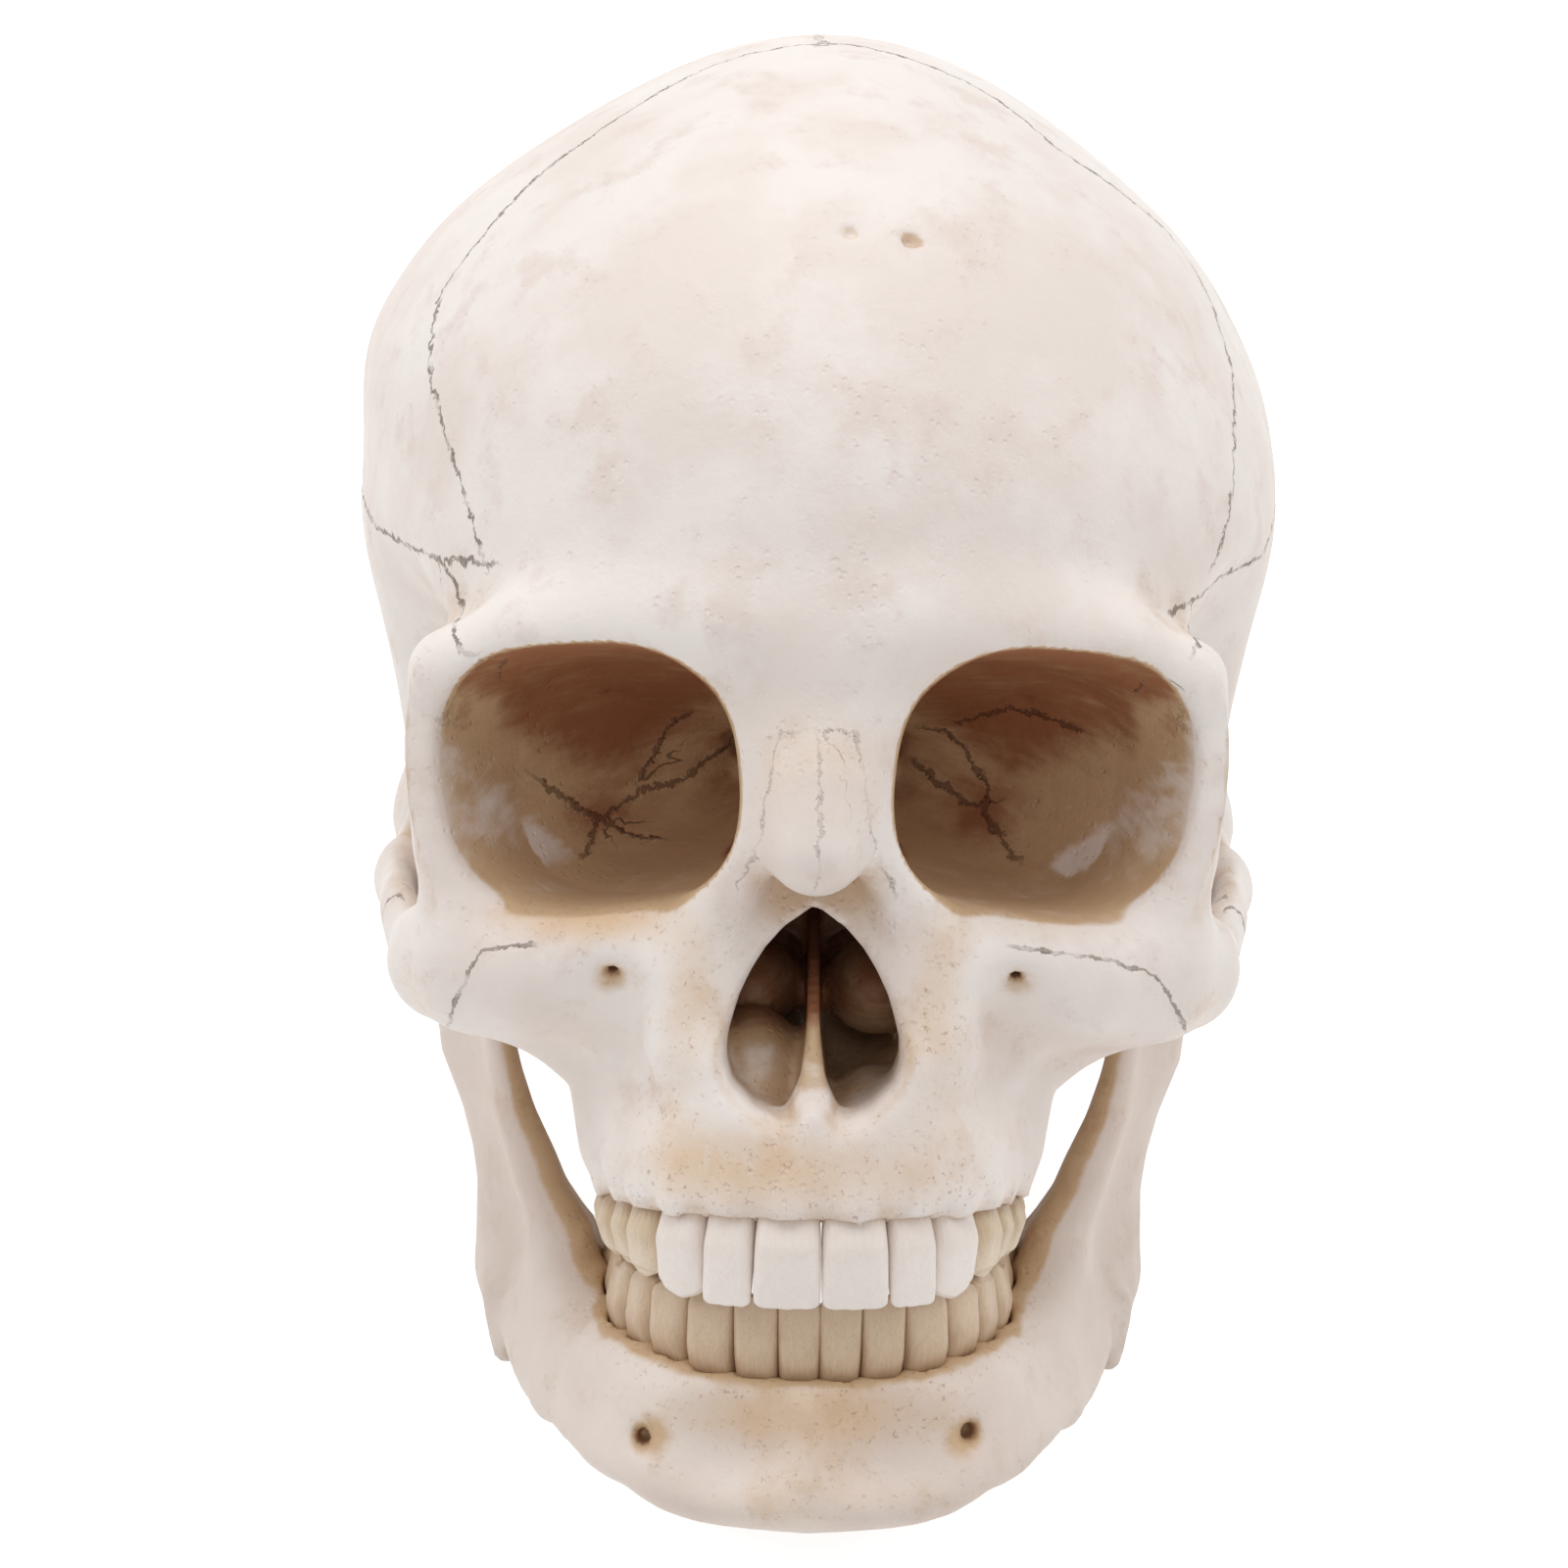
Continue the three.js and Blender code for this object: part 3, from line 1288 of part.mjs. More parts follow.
for (const upper of [true, false]) {
  for (const side of [-1, 1]) {
    for (const place of toothPlaces(upper, side)) {
      const isFront = place.kind.top === 'edge' || place.kind.top === 'point';
      const shade = upper && isFront ? 0xe8ded7 : 0xc4b392;
      const label = `${upper ? 'upper' : 'lower'}_${side > 0 ? 'left' : 'right'}_${place.kind.name}`;
      const tooth = piece(label, toothGeometry(place.size, place.crown, place.kind), toothFinish(shade));
      seatTooth(tooth, place, side, upper);
      skull.add(tooth);
    }
  }
}

for (const side of [-1, 1]) {
  const hand = side > 0 ? 'left' : 'right';
  const turn = side > 0 ? 0 : Math.PI;
  const upperPost = piece(`spring_post_cranium_${hand}`, postGeometry(upperBoneX), steelFinish());
  upperPost.position.set(side * upperBoneX, upperPostY, upperPostZ);
  upperPost.rotation.z = turn;
  const lowerPost = piece(`spring_post_jaw_${hand}`, postGeometry(lowerBoneX), steelFinish());
  lowerPost.position.set(side * lowerBoneX, lowerPostY, lowerPostZ);
  lowerPost.rotation.z = turn;
  const lowerEnd = new THREE.Vector3(side * springSpread, lowerPostY, lowerPostZ);
  const upperEnd = new THREE.Vector3(side * springSpread, upperPostY, upperPostZ);
  const path = new SpringPath(lowerEnd, upperEnd);
  skull.add(upperPost, lowerPost, piece(`jaw_spring_${hand}`, springGeometry(path), steelFinish()));
  console.log(`jaw_spring_${hand}: least gap to itself ${leastSpringGap(path).toFixed(2)} mm`);
}

skull.rotation.x = -restTilt;
const group = new THREE.Group();
group.add(skull);
group.updateMatrixWorld(true);
const box = new THREE.Box3().setFromObject(group, true);
skull.position.set(-(box.min.x + box.max.x) / 2, -(box.min.y + box.max.y) / 2, -box.min.z);
console.log(`resting tilt ${(restTilt * 180 / Math.PI).toFixed(2)} degrees`);

export default group;
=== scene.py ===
"""Studio scene of an anatomical skull model: cast bone, set teeth, jaw springs, floor, light and camera.

Bone is modelled as distance fields in the skull's own axes, in millimetres: X to the skull's left,
-Y to the front, Z up, and the origin midway between the ear openings. RestPlace carries a shape from
there to its place on the floor, in metres.
"""
from __future__ import annotations

import logging
import math
from abc import ABC, abstractmethod
from dataclasses import dataclass
from enum import Enum
from typing import Callable, Iterable, Sequence

import bmesh
import bpy
import numpy as np
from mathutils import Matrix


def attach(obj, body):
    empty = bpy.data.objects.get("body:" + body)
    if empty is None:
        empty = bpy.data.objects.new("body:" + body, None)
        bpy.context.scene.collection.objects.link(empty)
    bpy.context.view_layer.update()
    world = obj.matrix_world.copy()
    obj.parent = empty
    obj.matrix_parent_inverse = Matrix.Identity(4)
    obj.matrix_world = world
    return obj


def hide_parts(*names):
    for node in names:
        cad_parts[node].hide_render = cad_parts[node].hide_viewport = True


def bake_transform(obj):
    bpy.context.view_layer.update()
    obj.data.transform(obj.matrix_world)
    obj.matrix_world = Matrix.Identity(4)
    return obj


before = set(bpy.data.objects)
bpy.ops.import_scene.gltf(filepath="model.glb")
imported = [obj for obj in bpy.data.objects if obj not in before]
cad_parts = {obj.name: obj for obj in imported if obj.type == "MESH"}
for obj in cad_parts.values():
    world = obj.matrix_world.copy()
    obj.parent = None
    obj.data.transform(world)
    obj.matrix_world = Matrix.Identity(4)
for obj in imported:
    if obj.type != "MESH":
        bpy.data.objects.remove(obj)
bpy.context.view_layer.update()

import openvdb
from mathutils import Matrix, Quaternion, Vector

LOG = logging.getLogger("skull")
Array = np.ndarray
Point = tuple[Array, Array, Array]
Place = tuple[float, float, float]
Stop = tuple[float, float, float, float]
Table = Sequence[tuple[float, float]]
Line = tuple[str, float, float, float]
Patch = tuple[Place, Place, float]
Field = Callable[[Point], Array]
Piece = bpy.types.Object
Material = bpy.types.Material
Node = bpy.types.Node
Socket = bpy.types.NodeSocket
MM = 0.001


# Distances and their joins


def join(a: Array, b: Array, blend: float) -> Array:
    """Union of two distances with a fillet of the given width."""
    near = np.maximum(blend - np.abs(a - b), 0) / blend
    return np.minimum(a, b) - near * near * (blend / 4)


def cut(a: Array, b: Array, blend: float) -> Array:
    """Distance to a with b taken out of it."""
    return -join(-a, b, blend)


def overlap(a: Array, b: Array, blend: float) -> Array:
    """Distance to what a and b share."""
    return -join(-a, -b, blend)


def smooth(t: Array | float) -> Array:
    """Smooth step from 0 to 1."""
    t = np.clip(t, 0, 1)
    return t * t * (3 - 2 * t)


def ball(p: Point, centre: Sequence[float], radii: Sequence[float], yaw: float = 0) -> Array:
    """Distance to an ellipsoid.

    Args:
        p: Coordinates of the points.
        centre: Middle of the ellipsoid.
        radii: Half its size along each axis.
        yaw: Its turn about Z in degrees.

    Returns:
        Signed distance, near enough to true close to the surface.
    """
    c, s = math.cos(math.radians(yaw)), math.sin(math.radians(yaw))
    dx = (p[0] - centre[0]) * c + (p[1] - centre[1]) * s
    dy = (p[1] - centre[1]) * c - (p[0] - centre[0]) * s
    dz = p[2] - centre[2]
    a, b, h = radii
    k0 = np.sqrt((dx / a) ** 2 + (dy / b) ** 2 + (dz / h) ** 2) + 1e-6
    k1 = np.sqrt((dx / a**2) ** 2 + (dy / b**2) ** 2 + (dz / h**2) ** 2) + 1e-9
    return k0 * (k0 - 1) / k1


def rods(p: Point, stops: Sequence[Stop], flat: float = 1) -> Array:
    """Distance to a chain of tapered rods.

    Args:
        p: Coordinates of the points.
        stops: Each stop's place and radius.
        flat: How many times thinner the chain is along X.

    Returns:
        Signed distance.
    """
    best: Array | None = None
    for (ax, ay, az, ra), (bx, by, bz, rb) in zip(stops, stops[1:]):
        ux, uy, uz = (bx - ax) * flat, by - ay, bz - az
        px, py, pz = (p[0] - ax) * flat, p[1] - ay, p[2] - az
        t = np.clip((px * ux + py * uy + pz * uz) / (ux * ux + uy * uy + uz * uz), 0, 1)
        d = np.sqrt((px - t * ux) ** 2 + (py - t * uy) ** 2 + (pz - t * uz) ** 2) - (ra + (rb - ra) * t)
        best = d if best is None else np.minimum(best, d)
    return best / flat


def along(table: Table, t: Array | float) -> Array:
    """Value at t of a table of pairs, straight between them."""
    return np.interp(t, [a for a, _ in table], [b for _, b in table])


def outline(u: Array, v: Array, points: Table) -> Array:
    """Signed distance in a plane to a closed outline."""
    nearest = np.full(u.shape, 1e9, np.float32)
    inside = np.zeros(u.shape, bool)
    for (au, av), (bu, bv) in zip(points, [*points[1:], points[0]]):
        eu, ev = bu - au, bv - av
        t = np.clip(((u - au) * eu + (v - av) * ev) / (eu * eu + ev * ev), 0, 1)
        nearest = np.minimum(nearest, (u - au - t * eu) ** 2 + (v - av - t * ev) ** 2)
        if ev:
            inside ^= ((av > v) != (bv > v)) & (u < eu * (v - av) / ev + au)
    return np.where(inside, -1, 1) * np.sqrt(nearest)


# Place on the floor


@dataclass(frozen=True)
class RestPlace:
    """How the skull stands: tilted back on its jaw angles and the back of its head."""

    tilt: float = 0.5338067158550075
    shift: Place = (0.376953, 10.657156, 50.631295)

    def matrix(self) -> Matrix:
        """Matrix from skull axes in millimetres to the floor's axes in metres."""
        turn = Matrix.Rotation(-self.tilt, 4, "X")
        return Matrix.Scale(MM, 4) @ Matrix.Translation(self.shift) @ turn

    def points(self, places: Array) -> Array:
        """Places of skull-axis points on the floor, in metres."""
        m = np.array(self.matrix())
        return places @ m[:3, :3].T + m[:3, 3]

    def point(self, place: Sequence[float]) -> Vector:
        """Place of one skull-axis point on the floor, in metres."""
        return self.matrix() @ Vector(place)


REST = RestPlace()


# Cranium


@dataclass(frozen=True)
class CraniumForm:
    """Sizes and distance field of the cranium, in millimetres."""

    length: float = 178
    breadth: float = 137
    top: float = 119
    base: float = -29
    centre_y: float = -4
    crown_lean: float = 2.1
    wall: float = 5
    orbit_width: float = 42.2
    orbit_height: float = 34.6
    orbit_spread: float = 29.6
    orbit_level: float = 15.2
    orbit_forward: float = 78.5
    orbit_depth: float = 42
    orbit_tilt: float = 7
    orbit_squareness: float = 2.8
    brow_forward: float = 88
    brow_radius: float = 6.2
    nose_width: float = 25.4
    nose_top: float = 0.5
    nose_floor: float = -30.5
    nasion: float = 93
    nasal_tip: float = 101
    cheek_breadth: float = 125
    cheek_level: float = -12.5
    cheek_forward: float = 68.5
    dental_width: float = 62
    dental_depth: float = 40
    dental_y: float = -57
    gum: float = -44
    foramen: Place = (30, 36, 12)
    hinge: Place = (49, -14, -4)
    condyle_length: float = 17
    condyle_radius: float = 4.6
    septum: float = 1.7
    squareness: float = 2.4
    low_corner: Place = (-76, -111, -54)
    high_corner: Place = (76, 97, 125)

    @property
    def rim_top(self) -> float:
        """Level of the orbit's upper rim."""
        return self.orbit_level + self.orbit_height / 2

    @property
    def rim_outer(self) -> float:
        """Sideways place of the orbit's outer rim."""
        return self.orbit_spread + self.orbit_width / 2

    @property
    def rim_inner(self) -> float:
        """Sideways place of the orbit's inner rim."""
        return self.orbit_spread - self.orbit_width / 2

    def vault(self, p: Point) -> Array:
        """Braincase, drawn in at the temples and the crown, with its rear, forehead and side bosses."""
        half, middle = (self.top - self.base) / 2, (self.top + self.base) / 2
        side, cy = self.breadth / 2, self.centre_y
        level = (p[2] - middle) / half
        share = 1 + 0.022 * smooth((level - 0.01) / 0.38) - 0.18 * smooth((level - 0.54) / 0.51)
        p = (p[0] / (share - 0.035 * smooth((0.07 - level) / 0.3)), p[1], p[2])
        d = ball(p, (0, cy, middle), (side, self.length / 2, half))
        d = join(d, ball(p, (0, cy + 42, self.base + 33), (48, 38, 34)), 20)
        d = join(d, ball(p, (0, cy + self.length / 2 - 33, middle - 13), (44, 34, 34)), 20)
        d = join(d, ball(p, (0, cy - 38, middle + 1), (50, self.brow_forward - 42.5, 54)), 14)
        return join(d, ball(p, (side - 32.7, cy + 30, middle + 15), (30, 42, 31)), 12)

    def brow(self, p: Point) -> Array:
        """Brow ridge and the bar beside the orbit."""
        out, spread, top, fwd = self.rim_outer, self.orbit_spread, self.rim_top, self.orbit_forward
        r, bf = self.brow_radius, self.brow_forward
        ridge = rods(p, [
            (0, -(bf - 0.5), top + 3.2, r + 1.3),
            (self.rim_inner + 4, -bf, top + 5, r + 0.6),
            (spread - 1.4, -(bf - 4.5), top + 5, r - 0.8),
            (out - 9, -(fwd + 0.5), top + 3, r - 1.2),
            (out + 0.8, -(fwd - 7.5), top - 3, r - 1.4),
        ])
        bar = rods(p, [
            (out + 0.8, -(fwd - 7.5), top - 3, 4.6),
            (out + 1.7, -(fwd - 10), self.orbit_level + 0.8, 4.1),
            (out + 0.7, -(fwd - 9.5), self.orbit_level - 11, 4.8),
            (out - 1.8, -(fwd - 8.5), self.cheek_level + 6.5, 5.6),
        ])
        wall = ball(p, (out - 6.8, -(fwd - 20.5), self.orbit_level - 1), (4.5, 17, 21), 36)
        return join(join(ridge, bar, 5), wall, 6)

    def cheeks(self, p: Point) -> Array:
        """Cheek bone, the crest under it and the arch back to the ear."""
        half, level, fwd = self.cheek_breadth / 2, self.cheek_level, self.cheek_forward
        dental = self.dental_width / 2
        cheek = rods(p, [
            (24, -(fwd + 6.5), level + 1, 11.5),
            (38, -(fwd + 5), level + 1, 10.4),
            (half - 15.5, -fwd, level, 9.4),
            (half - 9.5, -(fwd - 6.5), level - 0.5, 7.2),
        ])
        crest = rods(p, [
            (half - 19.5, -(fwd - 2), level - 4, 4.8),
            (dental - 0.5, -(fwd - 2.5), level - 15, 4.4),
            (dental - 3, -(fwd - 4.5), self.gum + 7, 4.8),
        ])
        return join(cheek, crest, 7)

    def arch(self, p: Point) -> Array:
        """Cheek arch."""
        half, level = self.cheek_breadth / 2, self.cheek_level
        hinge_y, hinge_z = self.hinge[1:]
        return rods(p, [
            (half - 10.5, -(self.cheek_forward - 4.5), level - 0.5, 6.5),
            (half - 5, -54, level, 6),
            (half - 2, -42, level + 4.5, 4.8),
            (half - 1.2, -28, level + 6.5, 4.6),
            (half - 2.3, hinge_y, hinge_z + 1, 4.2),
            (half - 6, hinge_y + 13, hinge_z + 2.5, 4.2),
        ], 1.8)

    def arch_reach(self, x: Array, y: Array, half_width: float, depth: float) -> Array:
        """Squared arch in plan: 1 on the arch of the given half width and depth."""
        n = self.squareness
        return (np.abs(x / half_width) ** n + np.abs((y - self.dental_y) / depth) ** n) ** (1 / n)

    def upper_ridge(self, p: Point) -> Array:
        """Gum ridge of the upper jaw."""
        half = self.dental_width / 2
        reach = self.arch_reach(p[0], p[1], half, self.dental_depth)
        side = (reach - 1) * (half + 1) + 0.06 * np.maximum(p[2] - self.gum - 4, -6)
        level = np.abs(p[2] - self.gum - 12) - 12.5
        return overlap(overlap(side, level, 5), p[1] - self.dental_y - 17, 6)

    def nose_bridge(self, p: Point) -> Array:
        """Nasal bones and the sides of the nose opening."""
        na, top, wide = self.nasion, self.nose_top, self.nose_floor + self.nose_width / 2
        half = self.nose_width / 2
        bridge = rods(p, [
            (0, -(na - 7), self.orbit_level + 13, 8.6),
            (0, -(na - 1.5), self.orbit_level + 1, 7.6),
            (0, -(self.nasal_tip - 7), top + 7.5, 6.8),
        ])
        side = rods(p, [
            (self.rim_inner - 3, -(na - 6.5), self.orbit_level + 9, 4.8),
            (self.rim_inner, -(na - 5.5), self.orbit_level - 5, 4.6),
            (half + 2.6, -(na - 8), top - 5, 4.8),
            (half + 4.8, -(na - 8.5), wide - 3, 5),
        ])
        return join(bridge, side, 6)

    def outside(self, p: Point) -> Array:
        """Outer form, with x of zero or more."""
        half, spread = self.cheek_breadth / 2, self.dental_width / 2
        hinge_y = self.hinge[1]
        width, _, foramen_y = self.foramen
        fwd, level = self.cheek_forward, self.cheek_level
        d = self.vault(p)
        d = cut(d, ball(p, (half + 8, -47, -2), (29.5, 31, 46)), 9)
        d = cut(d, ball(p, (half - 10, -42, -34), (26, 34, 30)), 12)
        d = join(d, ball(p, (48, 4, 4), (11, 30, 20)), 12)
        d = join(d, rods(p, [(53, 14, -2, 11.5), (53, 14.5, -16, 8.5), (51.5, 14, -24.5, 5.5)]), 8)
        d = join(d, rods(p, [(0, 74, 0, 6), (0, 79, 1, 4.5)]), 8)
        d = join(d, self.brow(p), 8)
        d = join(d, self.cheeks(p), 7)
        d = join(d, ball(p, (0, self.dental_y - 7, -14), (spread, 23, 25)), 9)
        d = join(d, self.upper_ridge(p), 6)
        d = cut(d, ball(p, (spread - 3.5, -(fwd + 20), level - 9), (7, 8, 10)), 7)
        d = join(d, self.nose_bridge(p), 6)
        d = join(d, self.arch(p), 5)
        d = join(d, rods(p, [(20, -44, -8, 5), (21.5, -42, -24, 4.2), (22.5, -40.5, -40, 3.2)], 1.6), 5)
        d = join(d, rods(p, [(0, -40, -6, 13), (0, foramen_y - 22, self.base + 12, 11)]), 10)
        d = join(d, ball(p, (width / 2 + 2.5, foramen_y - 11, self.base + 4), (6.5, 11.5, 6), -28), 5)
        return join(d, rods(p, [(half - 2.5, hinge_y - 11, -6, 4), (44, hinge_y - 12, -5, 4.5)]), 5)

    def orbit(self, p: Point) -> Array:
        """Four-cornered funnel of the orbit, from its apex to the rim."""
        rear = self.orbit_depth - self.orbit_forward - 3
        apex = np.array((self.rim_inner + 1.5, rear, self.orbit_level - 2))
        axis = np.array((self.orbit_spread, -self.orbit_forward, self.orbit_level)) - apex
        reach = float(np.linalg.norm(axis))
        ax, ay, az = axis / reach
        dx, dy, dz = p[0] - apex[0], p[1] - apex[1], p[2] - apex[2]
        run = dx * ax + dy * ay + dz * az
        sideways = (dy * ax - dx * ay) / math.hypot(ax, ay)
        upwards = dz - run * az
        tilt = math.radians(self.orbit_tilt)
        c, s = math.cos(tilt), math.sin(tilt)
        side, up = c * sideways - s * upwards, s * sideways + c * upwards
        widening = [(-0.1, 0.05), (0, 0.16), (0.25, 0.48), (0.5, 0.74), (0.75, 0.95), (0.93, 1), (1.6, 1.22)]
        span = along(widening, run / reach)
        wide, high = self.orbit_width / 2 * span, self.orbit_height / 2 * span
        power = self.orbit_squareness
        away = (np.abs(side / wide) ** power + np.abs(up / high) ** power) ** (1 / power)
        return np.maximum((away - 1) * np.minimum(wide, high), -0.02 * reach - run)

    def nose(self, p: Point) -> Array:
        """Mouth of the nose, which rises to a point, its chamber and the rear passages."""
        x, y, z = p
        half = self.nose_width / 2
        wide = self.nose_floor + half
        edge = [
            (0.32, 0.848), (0.535, 0.752), (0.69, 0.652), (0.81, 0.548), (0.88, 0.452),
            (0.94, 0.352), (0.945, 0.255), (0.87, 0.155), (0.61, 0.058), (0.25, 0.006),
        ]
        rim = [(0, 0.935), *edge, *((-u, v) for u, v in reversed(edge))]
        high = self.nose_top - self.nose_floor
        mouth = outline(x, z, [(u * half, self.nose_floor + v * high) for u, v in rim])
        chamber = ball(p, (0, -(self.nasion - 33), -10), (half + 2.5, 17, 19))
        front, rear = (half / 2, 25 - self.nasion, wide - 2.5, 8), (half / 2 + 1.5, -36, wide + 1.5, 7)
        passage = rods(p, [front, rear])
        return join(join(np.maximum(mouth, y + self.nasion - 31), chamber, 3), passage, 3)

    def nose_fittings(self, p: Point, side: Array) -> Array:
        """Septum and the scroll-shaped conchae, fuller on the skull's right."""
        x, y, z = p
        half = self.nose_width / 2
        wide = self.nose_floor + half
        front = -(self.nasion - 9) + 0.5 * np.clip(z + 12, -16, 0) + 2.2 * np.maximum(z + 16, 0)
        plate = overlap(np.abs(x) - self.septum / 2 - 1.2 * smooth((-z - 17) / 13), np.abs(z + 9) - 22, 1)
        d = overlap(plate, np.maximum(front - y, y + 40), 1)
        lobe = ball(p, (half - 4, -(self.nasion - 25), wide - 12), (8.5, 13, 12))
        scroll = ball(p, (half - 3.5, -(self.nasion - 25), wide - 17), (8, 13, 8.5))
        rear = ball(p, (half - 3.5, -(self.nasion - 40), wide + 1), (7.5, 13, 7))
        d = join(d, np.minimum(np.where(side < 0, lobe, scroll), rear), 3)
        d = join(d, rods(p, [(half - 2.4, -(self.nasion - 23), -3, 2.8), (half - 4, -52, -4, 3.2)]), 2)
        limit = np.maximum(np.maximum(x - half - 4, z - self.orbit_level), self.nose_floor - 3 - z)
        return np.maximum(d, limit)

    def hollow(self, p: Point, outside: Array, keep: Array) -> Array:
        """Space of the braincase, which leaves an even wall round it and round the other cavities."""
        return overlap(np.maximum(self.vault(p), outside) + self.wall, self.wall - keep, 4)

    def joint_space(self, p: Point) -> Array:
        """Hollow over the jaw's condyle and the room that its neck swings in."""
        x, y, z = self.hinge
        half, r = self.condyle_length / 2 + 3, self.condyle_radius
        seat = ball(p, (x, y - 1, z - 5), (half, r + 4, r + 4.5))
        return np.minimum(seat, ball(p, (x, y + 1.5, z - 14), (half, 10, 10)))

    def canals(self, p: Point, side: Array) -> Array:
        """Small openings: nerve holes, notches, fissures, optic canal and forehead pits."""
        inner, fwd, level = self.rim_inner, self.orbit_forward, self.orbit_level
        lower_slit = [
            (inner + 15, 30 - fwd, level - 8, 1.4),
            (inner + 21, 24 - fwd, level - 10.5, 1.8),
            (inner + 27, 16 - fwd, level - 13.8, 2),
        ]
        upper_slit = [
            (inner + 6, 36 - fwd, level + 1, 1.5),
            (inner + 15, 28 - fwd, level + 6, 1.7),
            (inner + 21, 24 - fwd, level + 9.5, 0.9),
        ]
        optic = [(inner + 4.5, 34 - fwd, level + 1, 2.6), (inner - 2, -30, level + 1, 2.4)]
        cheek_nerve = [(28.5, -88, -12.8, 0.8), (28, -79, -9.6, 1), (27.6, -74, -6.5, 1)]
        palate_nerve = [(12, -63, self.gum + 11, 1.4), (15.5, -52, self.gum + 10, 1.8)]
        d = rods(p, lower_slit) + np.where(side < 0, 1.1, 0)
        for canal in (upper_slit, optic, cheek_nerve, palate_nerve):
            d = np.minimum(d, rods(p, canal))
        notch_x = np.where(side < 0, 27.2, 22.5)
        notch = np.sqrt((p[0] - notch_x) ** 2 + (p[2] - self.rim_top + 0.4) ** 2) - 1.5
        d = np.minimum(d, np.maximum(notch, np.abs(p[1] + 89) - 9))
        small = ball(p, (5.7, -74.9, 91.6), (1.3, 1.1, 0.9))
        large = ball(p, (14.2, -73.6, 90.5), (1.5, 1.2, 1))
        return np.minimum(d, np.where(side > 0, np.minimum(small, large), 9))

    def distance(self, p: Point) -> Array:
        """Distance to the finished bone.

        Args:
            p: Coordinates in skull axes.

        Returns:
            Signed distance, negative inside the bone.
        """
        side, y, z = p
        level = (2 * z - self.top - self.base) / (self.top - self.base)
        lean = self.crown_lean * smooth((level - 0.12) / 0.32) * smooth((0.99 - level) / 0.35)
        q = (np.abs(side + lean), y, z)
        width, length, foramen_y = self.foramen
        eye, nasal = self.orbit(q), self.nose(q)
        ear = rods(q, [(self.cheek_breadth / 2 + 10, 2, -2, 3.6), (self.cheek_breadth / 2 - 16, 0, 0, 3)])
        fwd = self.orbit_forward
        funnel = np.maximum(np.maximum(eye - 3, y + fwd - self.orbit_depth - 5), 4 - fwd - y)
        outside = join(self.outside(q), funnel, 4)
        d = cut(outside, eye, 1.2)
        d = cut(d, nasal, 0.9 + 3 * smooth((-14 - z) / 12))
        half = self.dental_width / 2
        d = cut(d, ball(q, (0, self.dental_y - 5, self.gum - 3), (half - 11, self.dental_depth - 11, 13)), 3)
        d = cut(d, ear, 1.5)
        d = cut(d, self.joint_space(q), 3)
        d = join(d, self.nose_fittings(q, side), 1.5)
        na, low = self.nasion, self.nose_floor
        spine = rods(q, [(0, 5 - na, low + 0.3, 3), (0, -na - 1.5, low + 1, 1.1)])
        d = join(d, spine, 4)
        hx, hy, hz = self.hinge
        socket = np.sqrt((q[0] - hx) ** 2 + (y - hy) ** 2 + (z - hz) ** 2) - 9
        keep = np.minimum(np.minimum(eye, nasal), np.minimum(ear, socket))
        d = cut(d, self.hollow(q, outside, keep), 3)
        d = cut(d, ball(q, (28.2, -88.5, -14.5), (3.2, 5, 4.4)), 3)
        d = cut(d, self.canals(q, side), 0.8)
        hole = np.sqrt((q[0] / (width / 2)) ** 2 + ((y - foramen_y) / (length / 2)) ** 2)
        return cut(d, np.maximum((hole - 1) * width / 2, np.abs(z - self.base - 4) - 18), 4)


# Lower jaw


